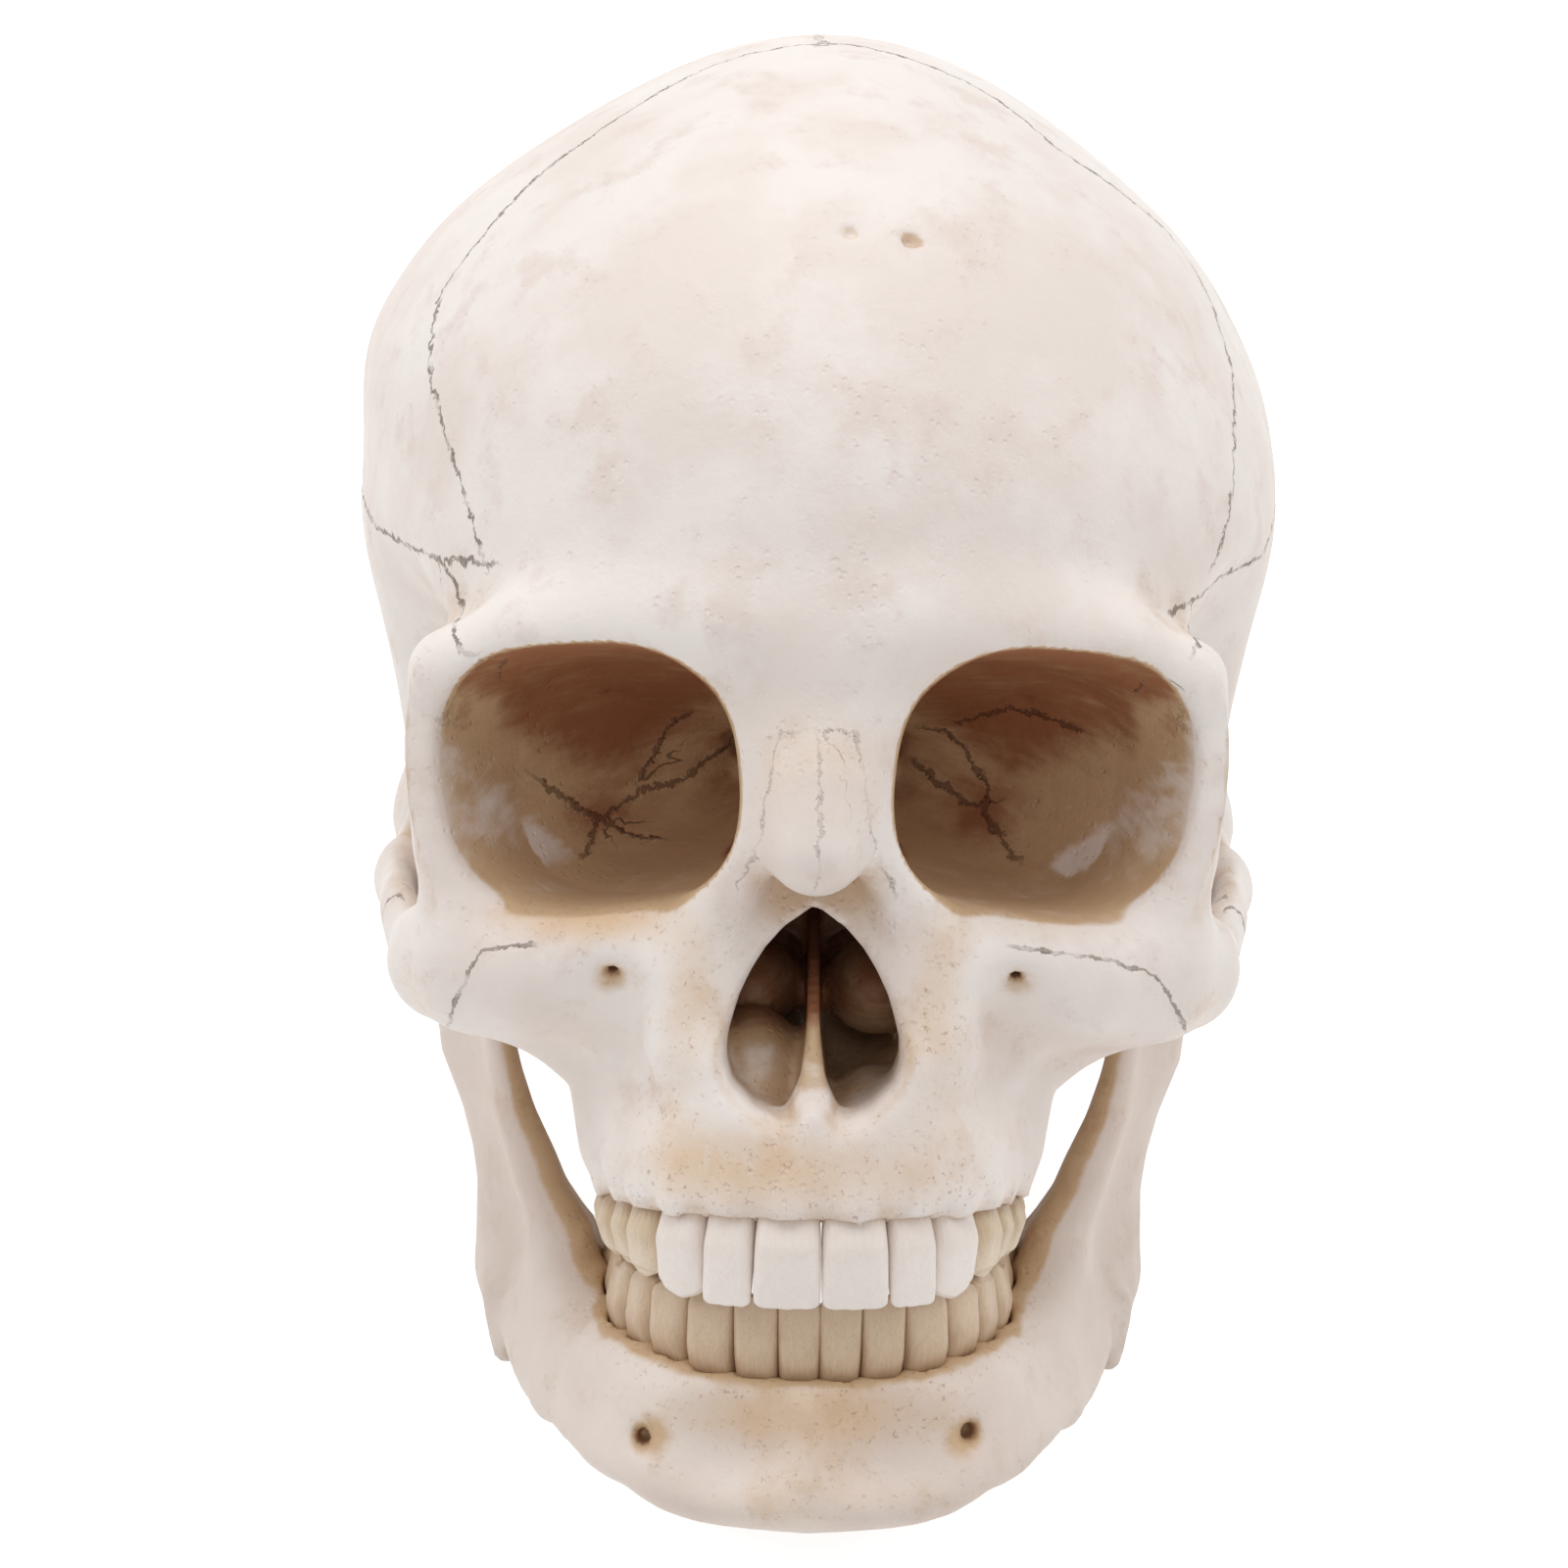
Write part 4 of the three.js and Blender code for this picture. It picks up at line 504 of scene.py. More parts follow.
@dataclass(frozen=True)
class JawForm:
    """Sizes and distance field of the lower jaw, in millimetres."""

    gum: float = -69
    chin_level: float = -88
    chin_forward: float = 88
    breadth: float = 93
    angle_level: float = -66
    thickness: float = 12.6
    ramus_back: float = -10.5
    ramus_width: float = 33
    ramus_thickness: float = 6.6
    dental_width: float = 49.4
    splay: float = 0.1
    coronoid_top: float = -7
    hinge: Place = (49, -14, -4)
    condyle_length: float = 17
    condyle_radius: float = 4.6
    lean: Table = ((0, 0.1), (0.45, 0.25), (0.75, 0.35), (1, 0.1))
    low_corner: Place = (-64, -99, -95)
    high_corner: Place = (64, 4, 5)

    @property
    def body_end(self) -> float:
        """Sideways place of the end of the body's middle line."""
        return self.breadth / 2 - 3

    @property
    def top_line(self) -> Table:
        """Level of the body's upper edge by share of its length."""
        lifts = ((0, 1), (0.3, 2.5), (0.62, 4), (0.92, 5.5), (1, 16))
        return [(share, self.gum + lift) for share, lift in lifts]

    @property
    def gum_line(self) -> Table:
        """Level of the gum by place from front to back."""
        front, middle = -self.chin_forward, CRANIUM.dental_y
        lifts = ((front, 1), (front + 8, 3.2), (middle, 5), (middle + 10, 8.5), (middle + 17, 11))
        return [(y, self.gum + lift) for y, lift in lifts]

    @property
    def dental_depth(self) -> float:
        """Depth of the arch of teeth."""
        return self.chin_forward + CRANIUM.dental_y

    @property
    def low_line(self) -> Table:
        """Level of the body's lower edge by share of its length."""
        chin, angle = self.chin_level, self.angle_level
        front = [(0, chin + 0.6), (0.3, chin + 1.9), (0.56, chin + 4.8), (0.8, chin + 11.5)]
        return [*front, (0.93, angle - 6), (1, angle - 3)]

    def branch_outline(self) -> Table:
        """Side outline of the branch, front horn and notch included."""
        back, front = self.ramus_back, self.ramus_back - self.ramus_width
        angle, top, chin = self.angle_level, self.coronoid_top, self.chin_level
        _, hinge_y, hinge_z = self.hinge
        return [
            (back - 2.5, angle + 4), (back + 0.5, angle + 16), (back, hinge_z - 32), (back, hinge_z - 16),
            (back, hinge_z - 4), (hinge_y - 3.5, hinge_z - 4), (hinge_y - 6, hinge_z - 12),
            (hinge_y - 12, hinge_z - 16), (front + 10, top - 10), (front + 6.5, top - 2),
            (front + 2.5, top + 1), (front, top - 4), (front - 0.5, top - 15), (front + 1, top - 29),
            (front - 1.5, top - 38), (front - 9.5, self.gum + 13), (front - 18.5, self.gum + 5),
            (front - 18.5, chin + 9), (front - 4, chin + 12.5), (front + 10, angle - 6),
            (back - 13, angle - 5), (back - 6, angle - 2),
        ]

    def body_place(self, x: Array, y: Array) -> tuple[Array, Array]:
        """Sideways distance in plan from the body's middle line, and the share of its length there."""
        reach, steps = self.chin_forward - 20.5, 14
        line = [
            (self.body_end * i / steps, -self.chin_forward + reach * (i / steps) ** 2.9)
            for i in range(steps + 1)
        ]
        nearest = np.full(x.shape, 1e9, np.float32)
        offset, share = np.zeros(x.shape, np.float32), np.zeros(x.shape, np.float32)
        for i, ((ax, ay), (bx, by)) in enumerate(zip(line, line[1:])):
            ux, uy = bx - ax, by - ay
            t = np.clip(((x - ax) * ux + (y - ay) * uy) / (ux * ux + uy * uy), 0, 1)
            dx, dy = x - ax - t * ux, y - ay - t * uy
            d = np.sqrt(dx * dx + dy * dy)
            nearer = d < nearest
            nearest = np.where(nearer, d, nearest)
            offset = np.where(nearer, np.where(ux * dy - uy * dx < 0, -d, d), offset)
            share = np.where(nearer, (i + t) / steps, share)
        return offset, share

    def body(self, p: Point) -> Array:
        """Curved body that carries the teeth."""
        x, y, z = p
        offset, share = self.body_place(x, y)
        top, low = along(self.top_line, share), along(self.low_line, share)
        half = self.thickness / 2 - 1.8 * np.clip((share - 0.75) / 0.25, 0, 1)
        middle = (top + low) / 2
        dx = np.abs(offset - along(self.lean, share) * (z - middle)) - (half - 4)
        dz = np.abs(z - middle) - ((top - low) / 2 - 4)
        return np.hypot(np.maximum(dx, 0), np.maximum(dz, 0)) + np.minimum(np.maximum(dx, dz), 0) - 4

    def ridge(self, p: Point) -> Array:
        """Gum ridge, which carries the back teeth inside the line of the branches."""
        x, y, z = p
        middle_y, half = CRANIUM.dental_y, self.dental_width / 2
        inner = x - self.splay * np.maximum(y - middle_y, 0)
        reach = CRANIUM.arch_reach(inner, np.minimum(y, middle_y), half, self.dental_depth)
        top = along(self.gum_line, y)
        foot = self.chin_level + 7 + 10 * smooth((y - middle_y + 18) / 35)
        middle = (top + foot) / 2
        side = np.abs(reach - 1) * half - 5.2
        return overlap(overlap(side, np.abs(z - middle) - (top - middle), 4), y - middle_y - 21, 5)

    def branch_middle(self, y: Array, z: Array) -> tuple[Array, Array]:
        """Sideways place and half thickness of the branch, which leans out at the rear, in at the front."""
        hinge_x, hinge_y, hinge_z = self.hinge
        lift = (z - self.angle_level) / (hinge_z - self.angle_level)
        low = self.breadth / 2 - 3.5
        turn = smooth((hinge_y - 8 - y) / 18)
        sweep = 5 * np.clip((-y - 40) / 20, 0, 1) ** 2
        lean = [
            (-0.1, -0.2), (0.02, 0.1), (0.15, 0.2), (0.26, 0.38), (0.32, 0.44), (0.42, 0.62),
            (0.55, 0.97), (0.63, 1.04), (0.82, 1.04), (1, 1),
        ]
        inset = [
            (0.1, 6.5), (0.2, 6.2), (0.29, 3.4), (0.355, 2),
            (0.45, -0.4), (0.55, -1.8), (0.63, -2.7), (0.82, -3.3),
        ]
        half = [(0.2, 1.5), (0.29, 1.2), (0.45, 1), (0.55, 0.8), (0.63, 0.7), (0.9, 0.6)]
        rear = low + (hinge_x + 3 - low) * along(lean, lift)
        front = low - along(inset, lift) - sweep
        thick = 1 + 0.15 * smooth((0.2 - lift) / 0.2)
        thickness = thick + (along(half, lift) - thick) * turn
        return rear + (front - rear) * turn, self.ramus_thickness / 2 * thickness

    def branch(self, p: Point) -> Array:
        """Thin upright branch."""
        x, y, z = p
        middle, half = self.branch_middle(y, z)
        return overlap(outline(y, z, self.branch_outline()) + 1, np.abs(x - middle) - half, 4)

    def marks(self, p: Point, d: Array, side: Array) -> Array:
        """Chewing-muscle ridges at the jaw angle, nerve holes and the hollow under the front teeth."""
        x, y, z = p
        for i in range(4):
            top = (46.5, -16 - 6 * i, -62 - 1.5 * i, 1.5)
            foot = (44.5, -18 - 6 * i, -72 - 0.8 * i, 1.9)
            d = join(d, rods(p, [top, foot]), 3)
        d = cut(d, ball(p, (12, -96.5, -76), (11, 6, 6)), 7)
        hole_x, hole_z = np.where(side > 0, 21.4, 21.9), np.where(side > 0, -75.2, -76.6)
        run = np.clip((-(y + 76)) / 14, 0, 1)
        hole = np.hypot(x - hole_x - 1.5 * run, (z - hole_z) * 0.8) - 0.8 - 0.4 * run
        d = cut(d, np.maximum(hole, np.maximum(y + 82, -y - 100)), 2.4)
        inner = rods(p, [(37.5, -31, -44, 1.6), (41, -27, -38, 2)])
        return cut(d, inner, 1)

    def distance(self, p: Point) -> Array:
        """Distance to the finished jaw bone.

        Args:
            p: Coordinates in skull axes.

        Returns:
            Signed distance, negative inside the bone.
        """
        side, y, z = p
        q = (np.abs(side), y, z)
        chin = join(
            ball(q, (0, -(self.chin_forward + 0.5), self.chin_level + 8), (13, 7.5, 7.5)),
            ball(q, (13, -(self.chin_forward - 1), self.chin_level + 6), (8, 5.5, 4.5)),
            6,
        )
        hx, hy, hz = self.hinge
        d = join(join(self.body(q), self.ridge(q), 5), chin, 6)
        d = join(d, self.branch(q), 7)
        d = join(d, rods(q, [(hx - 1.5, hy - 1, hz - 16, 3.9), (hx, hy, hz - 3, 3.9)]), 4)
        d = self.marks(q, d, side)
        condyle = (self.condyle_length / 2, self.condyle_radius, self.condyle_radius)
        return join(d, ball(q, self.hinge, condyle), 2)


CRANIUM = CraniumForm()
JAW = JawForm()


# Teeth


class Jaw(Enum):
    """Which row a tooth stands in."""

    UPPER = "upper"
    LOWER = "lower"


class Crown(Enum):
    """Form of a tooth's biting end."""

    EDGE = "edge"
    POINT = "point"
    PAIR = "pair"
    FOUR = "four"


@dataclass(frozen=True)
class ToothKind:
    """Sizes of one kind of tooth, in millimetres: width along the jaw and depth across it."""

    name: str
    upper: tuple[float, float]
    lower: tuple[float, float]
    edge: float
    crown: Crown
    tilt: float


@dataclass(frozen=True)
class ToothPlace:
    """One tooth in its place."""

    kind: ToothKind
    jaw: Jaw
    side: int
    size: tuple[float, float]
    seat: Place
    heading: float
    crown: float

    @property
    def node(self) -> str:
        """Name of the tooth's solid."""
        return f"{self.jaw.value}_{'left' if self.side > 0 else 'right'}_{self.kind.name}"

    def matrix(self) -> Matrix:
        """Matrix from the tooth's own axes, outer face to +Y and biting end to +Z, to skull axes."""
        upper = self.jaw is Jaw.UPPER
        tilt = math.radians(self.kind.tilt) * (1 if upper else -1)
        turn = Matrix.Rotation(self.side * self.heading, 4, "Z") @ Matrix.Rotation(tilt, 4, "X")
        if upper:
            turn = turn @ Matrix.Rotation(math.pi, 4, "Y")
        return Matrix.Translation((self.side * self.seat[0], self.seat[1], self.seat[2])) @ turn


@dataclass(frozen=True)
class ToothRows:
    """Two rows of sixteen teeth, set out from the middle of the face to the back."""

    gap: float = 0.3
    bite: float = -54.6
    overbite: float = 2
    shift: float = 1.4
    tail: float = 22
    kinds: tuple[ToothKind, ...] = (
        ToothKind("central_incisor", (8.5, 7), (5.1, 5.8), 0.24, Crown.EDGE, 16),
        ToothKind("lateral_incisor", (6.4, 6.2), (5.5, 6), 0.26, Crown.EDGE, 14),
        ToothKind("canine", (7.3, 7.8), (6.3, 7.2), 0.34, Crown.POINT, 11),
        ToothKind("first_premolar", (6.5, 8.6), (6.5, 7.4), 0.64, Crown.PAIR, 6),
        ToothKind("second_premolar", (6.3, 8.6), (6.7, 7.8), 0.66, Crown.PAIR, 3),
        ToothKind("first_molar", (9.3, 10.4), (10.2, 9.6), 0.74, Crown.FOUR, 0),
        ToothKind("second_molar", (8.7, 10.2), (9.7, 9.4), 0.74, Crown.FOUR, 0),
        ToothKind("third_molar", (7.6, 9.4), (8.6, 8.8), 0.74, Crown.FOUR, 0),
    )

    def row_points(self, jaw: Jaw, t: Array) -> Array:
        """Plan curve of one half row: a squared arch, then nearly straight to the back."""
        upper = jaw is Jaw.UPPER
        half = CRANIUM.dental_width / 2 - 5 if upper else JAW.dental_width / 2
        depth = CRANIUM.dental_depth - 3.7 if upper else JAW.dental_depth
        turn = np.minimum(t / 0.75, 1) * math.pi / 2
        straight = np.maximum(t / 0.75 - 1, 0) * 3 * self.tail
        power = 2 / CRANIUM.squareness
        x = half * np.sin(turn) ** power + straight * (0.04 if upper else JAW.splay)
        return np.stack([x, CRANIUM.dental_y - depth * np.maximum(np.cos(turn), 0) ** power + straight], 1)

    def places(self, jaw: Jaw) -> list[ToothPlace]:
        """Every tooth of one row, left and right."""
        t = np.linspace(0, 1, 8001)
        points = self.row_points(jaw, t)
        run = np.concatenate([[0], np.cumsum(np.linalg.norm(np.diff(points, axis=0), axis=1))])
        upper = jaw is Jaw.UPPER
        start, made = self.gap / 2, []
        for order, kind in enumerate(self.kinds):
            size = kind.upper if upper else kind.lower
            share = order / 7
            for side in (-1, 1):
                here = float(np.interp(start + size[0] / 2 + side * self.shift, run, t))
                x, y = (float(np.interp(here, t, points[:, i])) for i in (0, 1))
                tx, ty = np.diff(self.row_points(jaw, np.array([here - 1e-4, here + 1e-4])), axis=0)[0]
                rise = 2 * float(smooth(share * 1.6 - 0.2))
                gum = CRANIUM.gum - rise if upper else float(along(JAW.gum_line, y))
                bite = self.bite + 0.8 * float(smooth(share * 1.5 - 0.2))
                reach = gum - bite if upper else bite - gum
                extra = (self.overbite if upper else -self.gap) * (1 - float(smooth(order / 3 - 0.3)))
                heading, crown = math.atan2(-ty, -tx), reach + extra - self.gap
                made.append(ToothPlace(kind, jaw, side, size, (x, y, gum), heading, crown))
            start += size[0] + self.gap
        return made


ROWS = ToothRows()


@dataclass(frozen=True)
class ToothBed:
    """How the bone meets its teeth: bulges over the roots and snug rims round the necks."""

    jaw: Jaw
    clearance: float = 0.22
    well: float = 1.1
    reach: float = 15
    stain_reach: float = 8

    def fit(self, p: Point, d: Array) -> Array:
        """Bone distance with root bulges joined on and the seats of the teeth cut out.

        Args:
            p: Coordinates in skull axes, as flat arrays.
            d: Distance to the bone without teeth.

        Returns:
            Signed distance.
        """
        places = ROWS.places(self.jaw)
        local = []
        bulge = {Crown.POINT: 0.26, Crown.PAIR: 0.2}
        for place in places:
            seat, back = place.matrix().translation, np.array(place.matrix().inverted()).astype(np.float32)
            near = np.nonzero(sum((c - s) ** 2 for c, s in zip(p, seat)) < self.reach**2)[0]
            spot = np.stack([c[near] for c in p], 1) @ back[:3, :3].T + back[:3, 3]
            local.append((near, spot))
            width, depth = place.size
            long = 9.5 if place.kind.crown in (Crown.POINT, Crown.EDGE) else 7
            forward = bulge.get(place.kind.crown, 0.16) * depth
            root = [(0, forward, -1.2, 0.36 * width), (0, forward, -long, 0.24 * width)]
            d[near] = join(d[near], rods((spot[:, 0], spot[:, 1], spot[:, 2]), root), 3)
        for count, (place, (near, spot)) in enumerate(zip(places, local)):
            width, depth = place.size
            x, y, z = spot.T
            a = width * (0.465 + 0.03 * np.clip(z / 3, 0, 1)) + self.clearance
            b = depth * (0.43 + 0.08 * np.clip(z / 3, 0, 1)) + self.clearance
            away = ((np.abs(x) / a) ** 2.5 + (np.abs(y) / b) ** 2.5) ** 0.4
            uneven = (0.2 if self.jaw is Jaw.UPPER else 0.6) * math.sin(7.3 * count + 1.9)
            rim = self.well + uneven + 0.5 * (x / (width / 2)) ** 2
            well = overlap((away - 1) * np.minimum(a, b), np.maximum(-z - rim, z - place.crown - 3), 0.8)
            d[near] = cut(d[near], well, 0.5)
        return d

    def nearness(self, points: Array) -> Array:
        """How near each bone point is to the neck of a tooth: 1 at the neck, 0 some way off."""
        total = np.zeros(len(points))
        for place in ROWS.places(self.jaw):
            back = np.array(place.matrix().inverted())
            spot = points @ back[:3, :3].T + back[:3, 3]
            beside = np.maximum(np.abs(spot[:, :2]) - 0.45 * np.array(place.size), 0)
            away = np.sqrt((beside**2).sum(1) + np.minimum(spot[:, 2] + self.well, 0) ** 2)
            total = np.maximum(total, smooth(1 - away / self.stain_reach))
        return total


@dataclass(frozen=True)
class ToothForm:
    """Shape of one tooth, from the tip of its root to its biting end."""

    place: ToothPlace
    sides: int = 40
    root_rings: int = 5
    side_rings: int = 18
    top_rings: int = 11
    root_length: float = 6
    cusp: float = 1.3
    contact: float = 0.72
    squareness: float = 3.6

    def outline_at(self, angle: Array, half_width: Array, front: Array, back: Array) -> tuple[Array, Array]:
        """Rounded outline of the tooth at one height; its inner side is a little narrower."""
        c, s = np.cos(angle), np.sin(angle)
        power = self.squareness
        reach = (np.abs(c) ** power + np.abs(s) ** power) ** (-1 / power)
        narrow = 1 + np.where(s < 0, 0.18, 0.05) * s
        middle, half = (front + back) / 2, (front - back) / 2
        return half_width * reach * c * narrow, middle + half * reach * s

    def profile(self, t: Array) -> tuple[Array, Array, Array]:
        """Half width and front and back faces by share of the crown's height."""
        width, depth = self.place.size
        width += self.contact
        e, back = self.place.kind.edge / 2, (1 - self.place.kind.edge) * 0.12
        fine = np.linspace(-0.2, 1, 61)
        kernel = np.hanning(13)[1:-1]
        kernel = kernel / kernel.sum()

        def curve(table: Table) -> Array:
            """The table's line with its corners rounded off."""
            values = along(table, fine)
            beyond = values[-1] + (values[-1] - values[-2]) * np.arange(1, 6)
            padded = np.concatenate([np.full(5, values[0]), values, beyond])
            return np.interp(t, fine, np.convolve(padded, kernel, "valid"))

        shoulder = (0.5 + e) / 2
        half = curve([(-0.2, 0.45), (0.03, 0.468), (0.2, 0.486), (0.5, 0.497), (0.85, 0.502), (1, 0.488)])
        front = curve([(-0.2, 0.4), (0.03, 0.42), (0.35, 0.5), (0.75, shoulder - back), (1, e - back)])
        bulge = shoulder + 0.02 + back / 2
        rear = curve([(-0.2, 0.4), (0.03, 0.42), (0.3, 0.5), (0.6, bulge), (1, e + back)])
        return half * width, front * depth, -rear * depth

    def top_height(self, r: Array, angle: Array) -> Array:
        """Height of the biting surface over the crown's level."""
        crown = self.place.kind.crown
        u, v = r * np.cos(angle), r * np.sin(angle)
        rounding = -0.45 * r**10
        if crown is Crown.EDGE:
            lobes = 0.06 * np.cos(u * 3 * math.pi) * (1 - u * u)
            return lobes + 0.1 - 0.35 * u**4 + rounding
        if crown is Crown.POINT:
            return 0.6 - 1.7 * np.abs(u) ** 1.3 - 0.3 * v * v + rounding
        if crown is Crown.PAIR:
            outer = np.exp(-((v - 0.62) ** 2) / 0.16 - u * u / 0.45)
            inner = 0.85 * np.exp(-((v + 0.62) ** 2) / 0.14 - u * u / 0.4)
            rim = 0.55 * np.exp(-((np.abs(u) - 0.85) ** 2) / 0.03)
            groove = 0.4 * np.exp(-(v / 0.09) ** 2) * (1 - r**4)
            return self.cusp * (np.maximum(np.maximum(outer, inner), rim) - 1) - groove + rounding
        cusps = np.zeros_like(u)
        for cu, cv, high in ((0.52, 0.55, 1), (-0.5, 0.55, 0.95), (0.5, -0.55, 0.9), (-0.5, -0.55, 0.86)):
            cusps = np.maximum(cusps, high * np.exp(-((u - cu) ** 2 + (v - cv) ** 2) / 0.17))
        lengthwise = np.exp(-((v - 0.05 * np.sin(u * 5)) / 0.08) ** 2)
        crosswise = np.exp(-((u - 0.06 * np.sin(v * 6)) / 0.07) ** 2)
        groove = np.maximum(lengthwise, crosswise)
        return self.cusp * (cusps - 1) * 0.9 - 0.35 * groove * (1 - r**6) + rounding

    def build(self) -> Piece:
        """Tooth as a closed mesh on the floor's axes, with its own place kept as an attribute."""
        rings = self.root_rings + self.side_rings + self.top_rings
        bpy.ops.object.select_all(action="DESELECT")
        bpy.ops.mesh.primitive_uv_sphere_add(segments=self.sides, ring_count=rings, radius=1)
        tooth = bpy.context.object
        tooth.name = tooth.data.name = f"tooth_{self.place.node}"
        count = len(tooth.data.vertices)
        co = np.empty(count * 3, np.float32)
        tooth.data.vertices.foreach_get("co", co)
        co = co.reshape(-1, 3).astype(float)
        level = rings - np.rint(np.arccos(np.clip(co[:, 2], -1, 1)) / math.pi * rings)
        angle = np.arctan2(co[:, 1], co[:, 0])
        local = self.surface(level, angle)
        store(tooth, "tooth", local)
        place = REST.matrix() @ self.place.matrix()
        m = np.array(place)
        tooth.data.vertices.foreach_set("co", (local @ m[:3, :3].T + m[:3, 3]).astype(np.float32).ravel())
        tooth.data.update()
        smooth_faces(tooth)
        return tooth

    def surface(self, level: Array, angle: Array) -> Array:
        """Points of the surface by ring, counted from the root, and angle."""
        crown = self.place.crown
        root_share = np.clip(level / self.root_rings, 0, 1)
        t = np.clip((level - self.root_rings) / self.side_rings, 0, 1)
        r = np.clip((self.root_rings + self.side_rings + self.top_rings - level) / self.top_rings, 0, 1)
        half, front, back = self.profile(t)
        root = (0.5 + 0.5 * root_share) * np.sqrt(np.clip(root_share * 2.5, 0, 1))
        taper = np.where(level < self.root_rings, root, 1)
        x, y = self.outline_at(angle, half * taper, front * taper, back * taper)
        middle = (front + back) / 2
        x, y = x * r, middle * (1 - r) * np.where(level < self.root_rings, 0, 1) + y * r
        base = np.where(level < self.root_rings, -self.root_length * (1 - root_share), crown * t)
        lift = self.top_height(r, angle)
        share = np.clip((t - 0.8) / 0.2, 0, 1) ** 1.5
        return np.stack([x, y, base + np.where(level < self.root_rings, 0, lift * share)], 1)


# Meshes


def store(piece: Piece, name: str, values: Array) -> None:
    """Keeps a number or a vector for each vertex under a name that the finishes read."""
    kind = "FLOAT" if values.ndim == 1 else "FLOAT_VECTOR"
    attribute = piece.data.attributes.new(name, kind, "POINT")
    attribute.data.foreach_set("value" if values.ndim == 1 else "vector", values.astype(np.float32).ravel())


def smooth_faces(piece: Piece) -> None:
    """Shades every face of the piece smoothly."""
    piece.data.polygons.foreach_set("use_smooth", np.ones(len(piece.data.polygons), bool))
    piece.data.update()


def select(piece: Piece) -> None:
    """Makes the piece the one that the next steps act on."""
    bpy.ops.object.select_all(action="DESELECT")
    piece.select_set(True)
    bpy.context.view_layer.objects.active = piece


def vertex_places(piece: Piece) -> Array:
    """Vertex coordinates, one row each."""
    co = np.empty(len(piece.data.vertices) * 3, np.float32)
    piece.data.vertices.foreach_get("co", co)
    return co.reshape(-1, 3)


@dataclass(frozen=True)
class Casting:
    """Turns a distance field into one closed mesh."""

    step: float = 0.9
    block: int = 8
    facets: int = 192_000

    def sample(self, distance: Field, low: Place, high: Place) -> Array:
        """Distances on a grid, worked out in full only in blocks near the surface.

        Args:
            distance: The field.
            low: Lowest corner of the grid.
            high: Highest corner of the grid.

        Returns:
            Array of distances in three dimensions.
        """
        block, step = self.block, self.step
        blocks = [math.ceil((b - a) / step / block) for a, b in zip(low, high)]
        index = np.stack(np.meshgrid(*(np.arange(n) for n in blocks), indexing="ij"), -1).reshape(-1, 3)
        centre = (np.array(low) + (index + 0.5) * block * step).astype(np.float32)
        middle = distance(tuple(centre.T.copy()))
        values = np.repeat(middle.astype(np.float32), block**3).reshape(-1, block, block, block)
        near = np.nonzero(np.abs(middle) < block * step * 0.87 * 1.7)[0]
        inner = np.stack(np.meshgrid(*(np.arange(block),) * 3, indexing="ij"), -1).reshape(-1, 3)
        for start in range(0, len(near), 256):
            chunk = near[start : start + 256]
            cells = index[chunk][:, None] * block + inner[None]
            spots = (np.array(low) + cells * step).reshape(-1, 3).astype(np.float32)
            values[chunk] = distance(tuple(spots.T.copy())).reshape(-1, block, block, block)
        grid = values.reshape(*blocks, block, block, block).transpose(0, 3, 1, 4, 2, 5)
        return np.ascontiguousarray(grid.reshape([n * block for n in blocks]))

    def cast(self, name: str, distance: Field, low: Place, high: Place) -> Piece:
        """Builds the mesh in skull axes and thins it to its facet budget."""
        values = np.clip(self.sample(distance, low, high), -4 * self.step, 4 * self.step)
        grid = openvdb.FloatGrid(4.0 * self.step)
        grid.copyFromArray(values)
        points, _, quads = grid.convertToPolygons(0.0, 0.0)
        points = points * self.step + np.array(low, np.float32)
        mesh = bpy.data.meshes.new(name)
        mesh.vertices.add(len(points))
        mesh.vertices.foreach_set("co", points.astype(np.float32).ravel())
        mesh.loops.add(len(quads) * 4)
        mesh.loops.foreach_set("vertex_index", quads[:, ::-1].astype(np.int32).ravel())
        mesh.polygons.add(len(quads))
        mesh.polygons.foreach_set("loop_start", np.arange(0, len(quads) * 4, 4, dtype=np.int32))
        mesh.update()
        piece = bpy.data.objects.new(name, mesh)
        bpy.context.scene.collection.objects.link(piece)
        self.keep_largest(piece)
        thin = piece.modifiers.new("thin", "DECIMATE")
        thin.ratio = min(1, self.facets / (2 * len(mesh.polygons)))
        select(piece)
        bpy.ops.object.modifier_apply(modifier=thin.name)
        smooth_faces(piece)
        return piece

    def keep_largest(self, piece: Piece) -> None:
        """Deletes loose crumbs and closed bubbles, and keeps the one main shell."""
        mesh = bmesh.new()
        mesh.from_mesh(piece.data)
        mesh.verts.ensure_lookup_table()
        seen = np.zeros(len(mesh.verts), bool)
        shells: list[list[bmesh.types.BMVert]] = []
        for start in mesh.verts:
            if seen[start.index]:
                continue
            seen[start.index] = True
            shell, edge = [start], [start]
            while edge:
                for link in edge.pop().link_edges:
                    for vert in link.verts:
                        if not seen[vert.index]:
                            seen[vert.index] = True
                            shell.append(vert)
                            edge.append(vert)
            shells.append(shell)
        shells.sort(key=len)
        bmesh.ops.delete(mesh, geom=[vert for shell in shells[:-1] for vert in shell], context="VERTS")
        mesh.to_mesh(piece.data)
        mesh.free()


# Bone surface marks


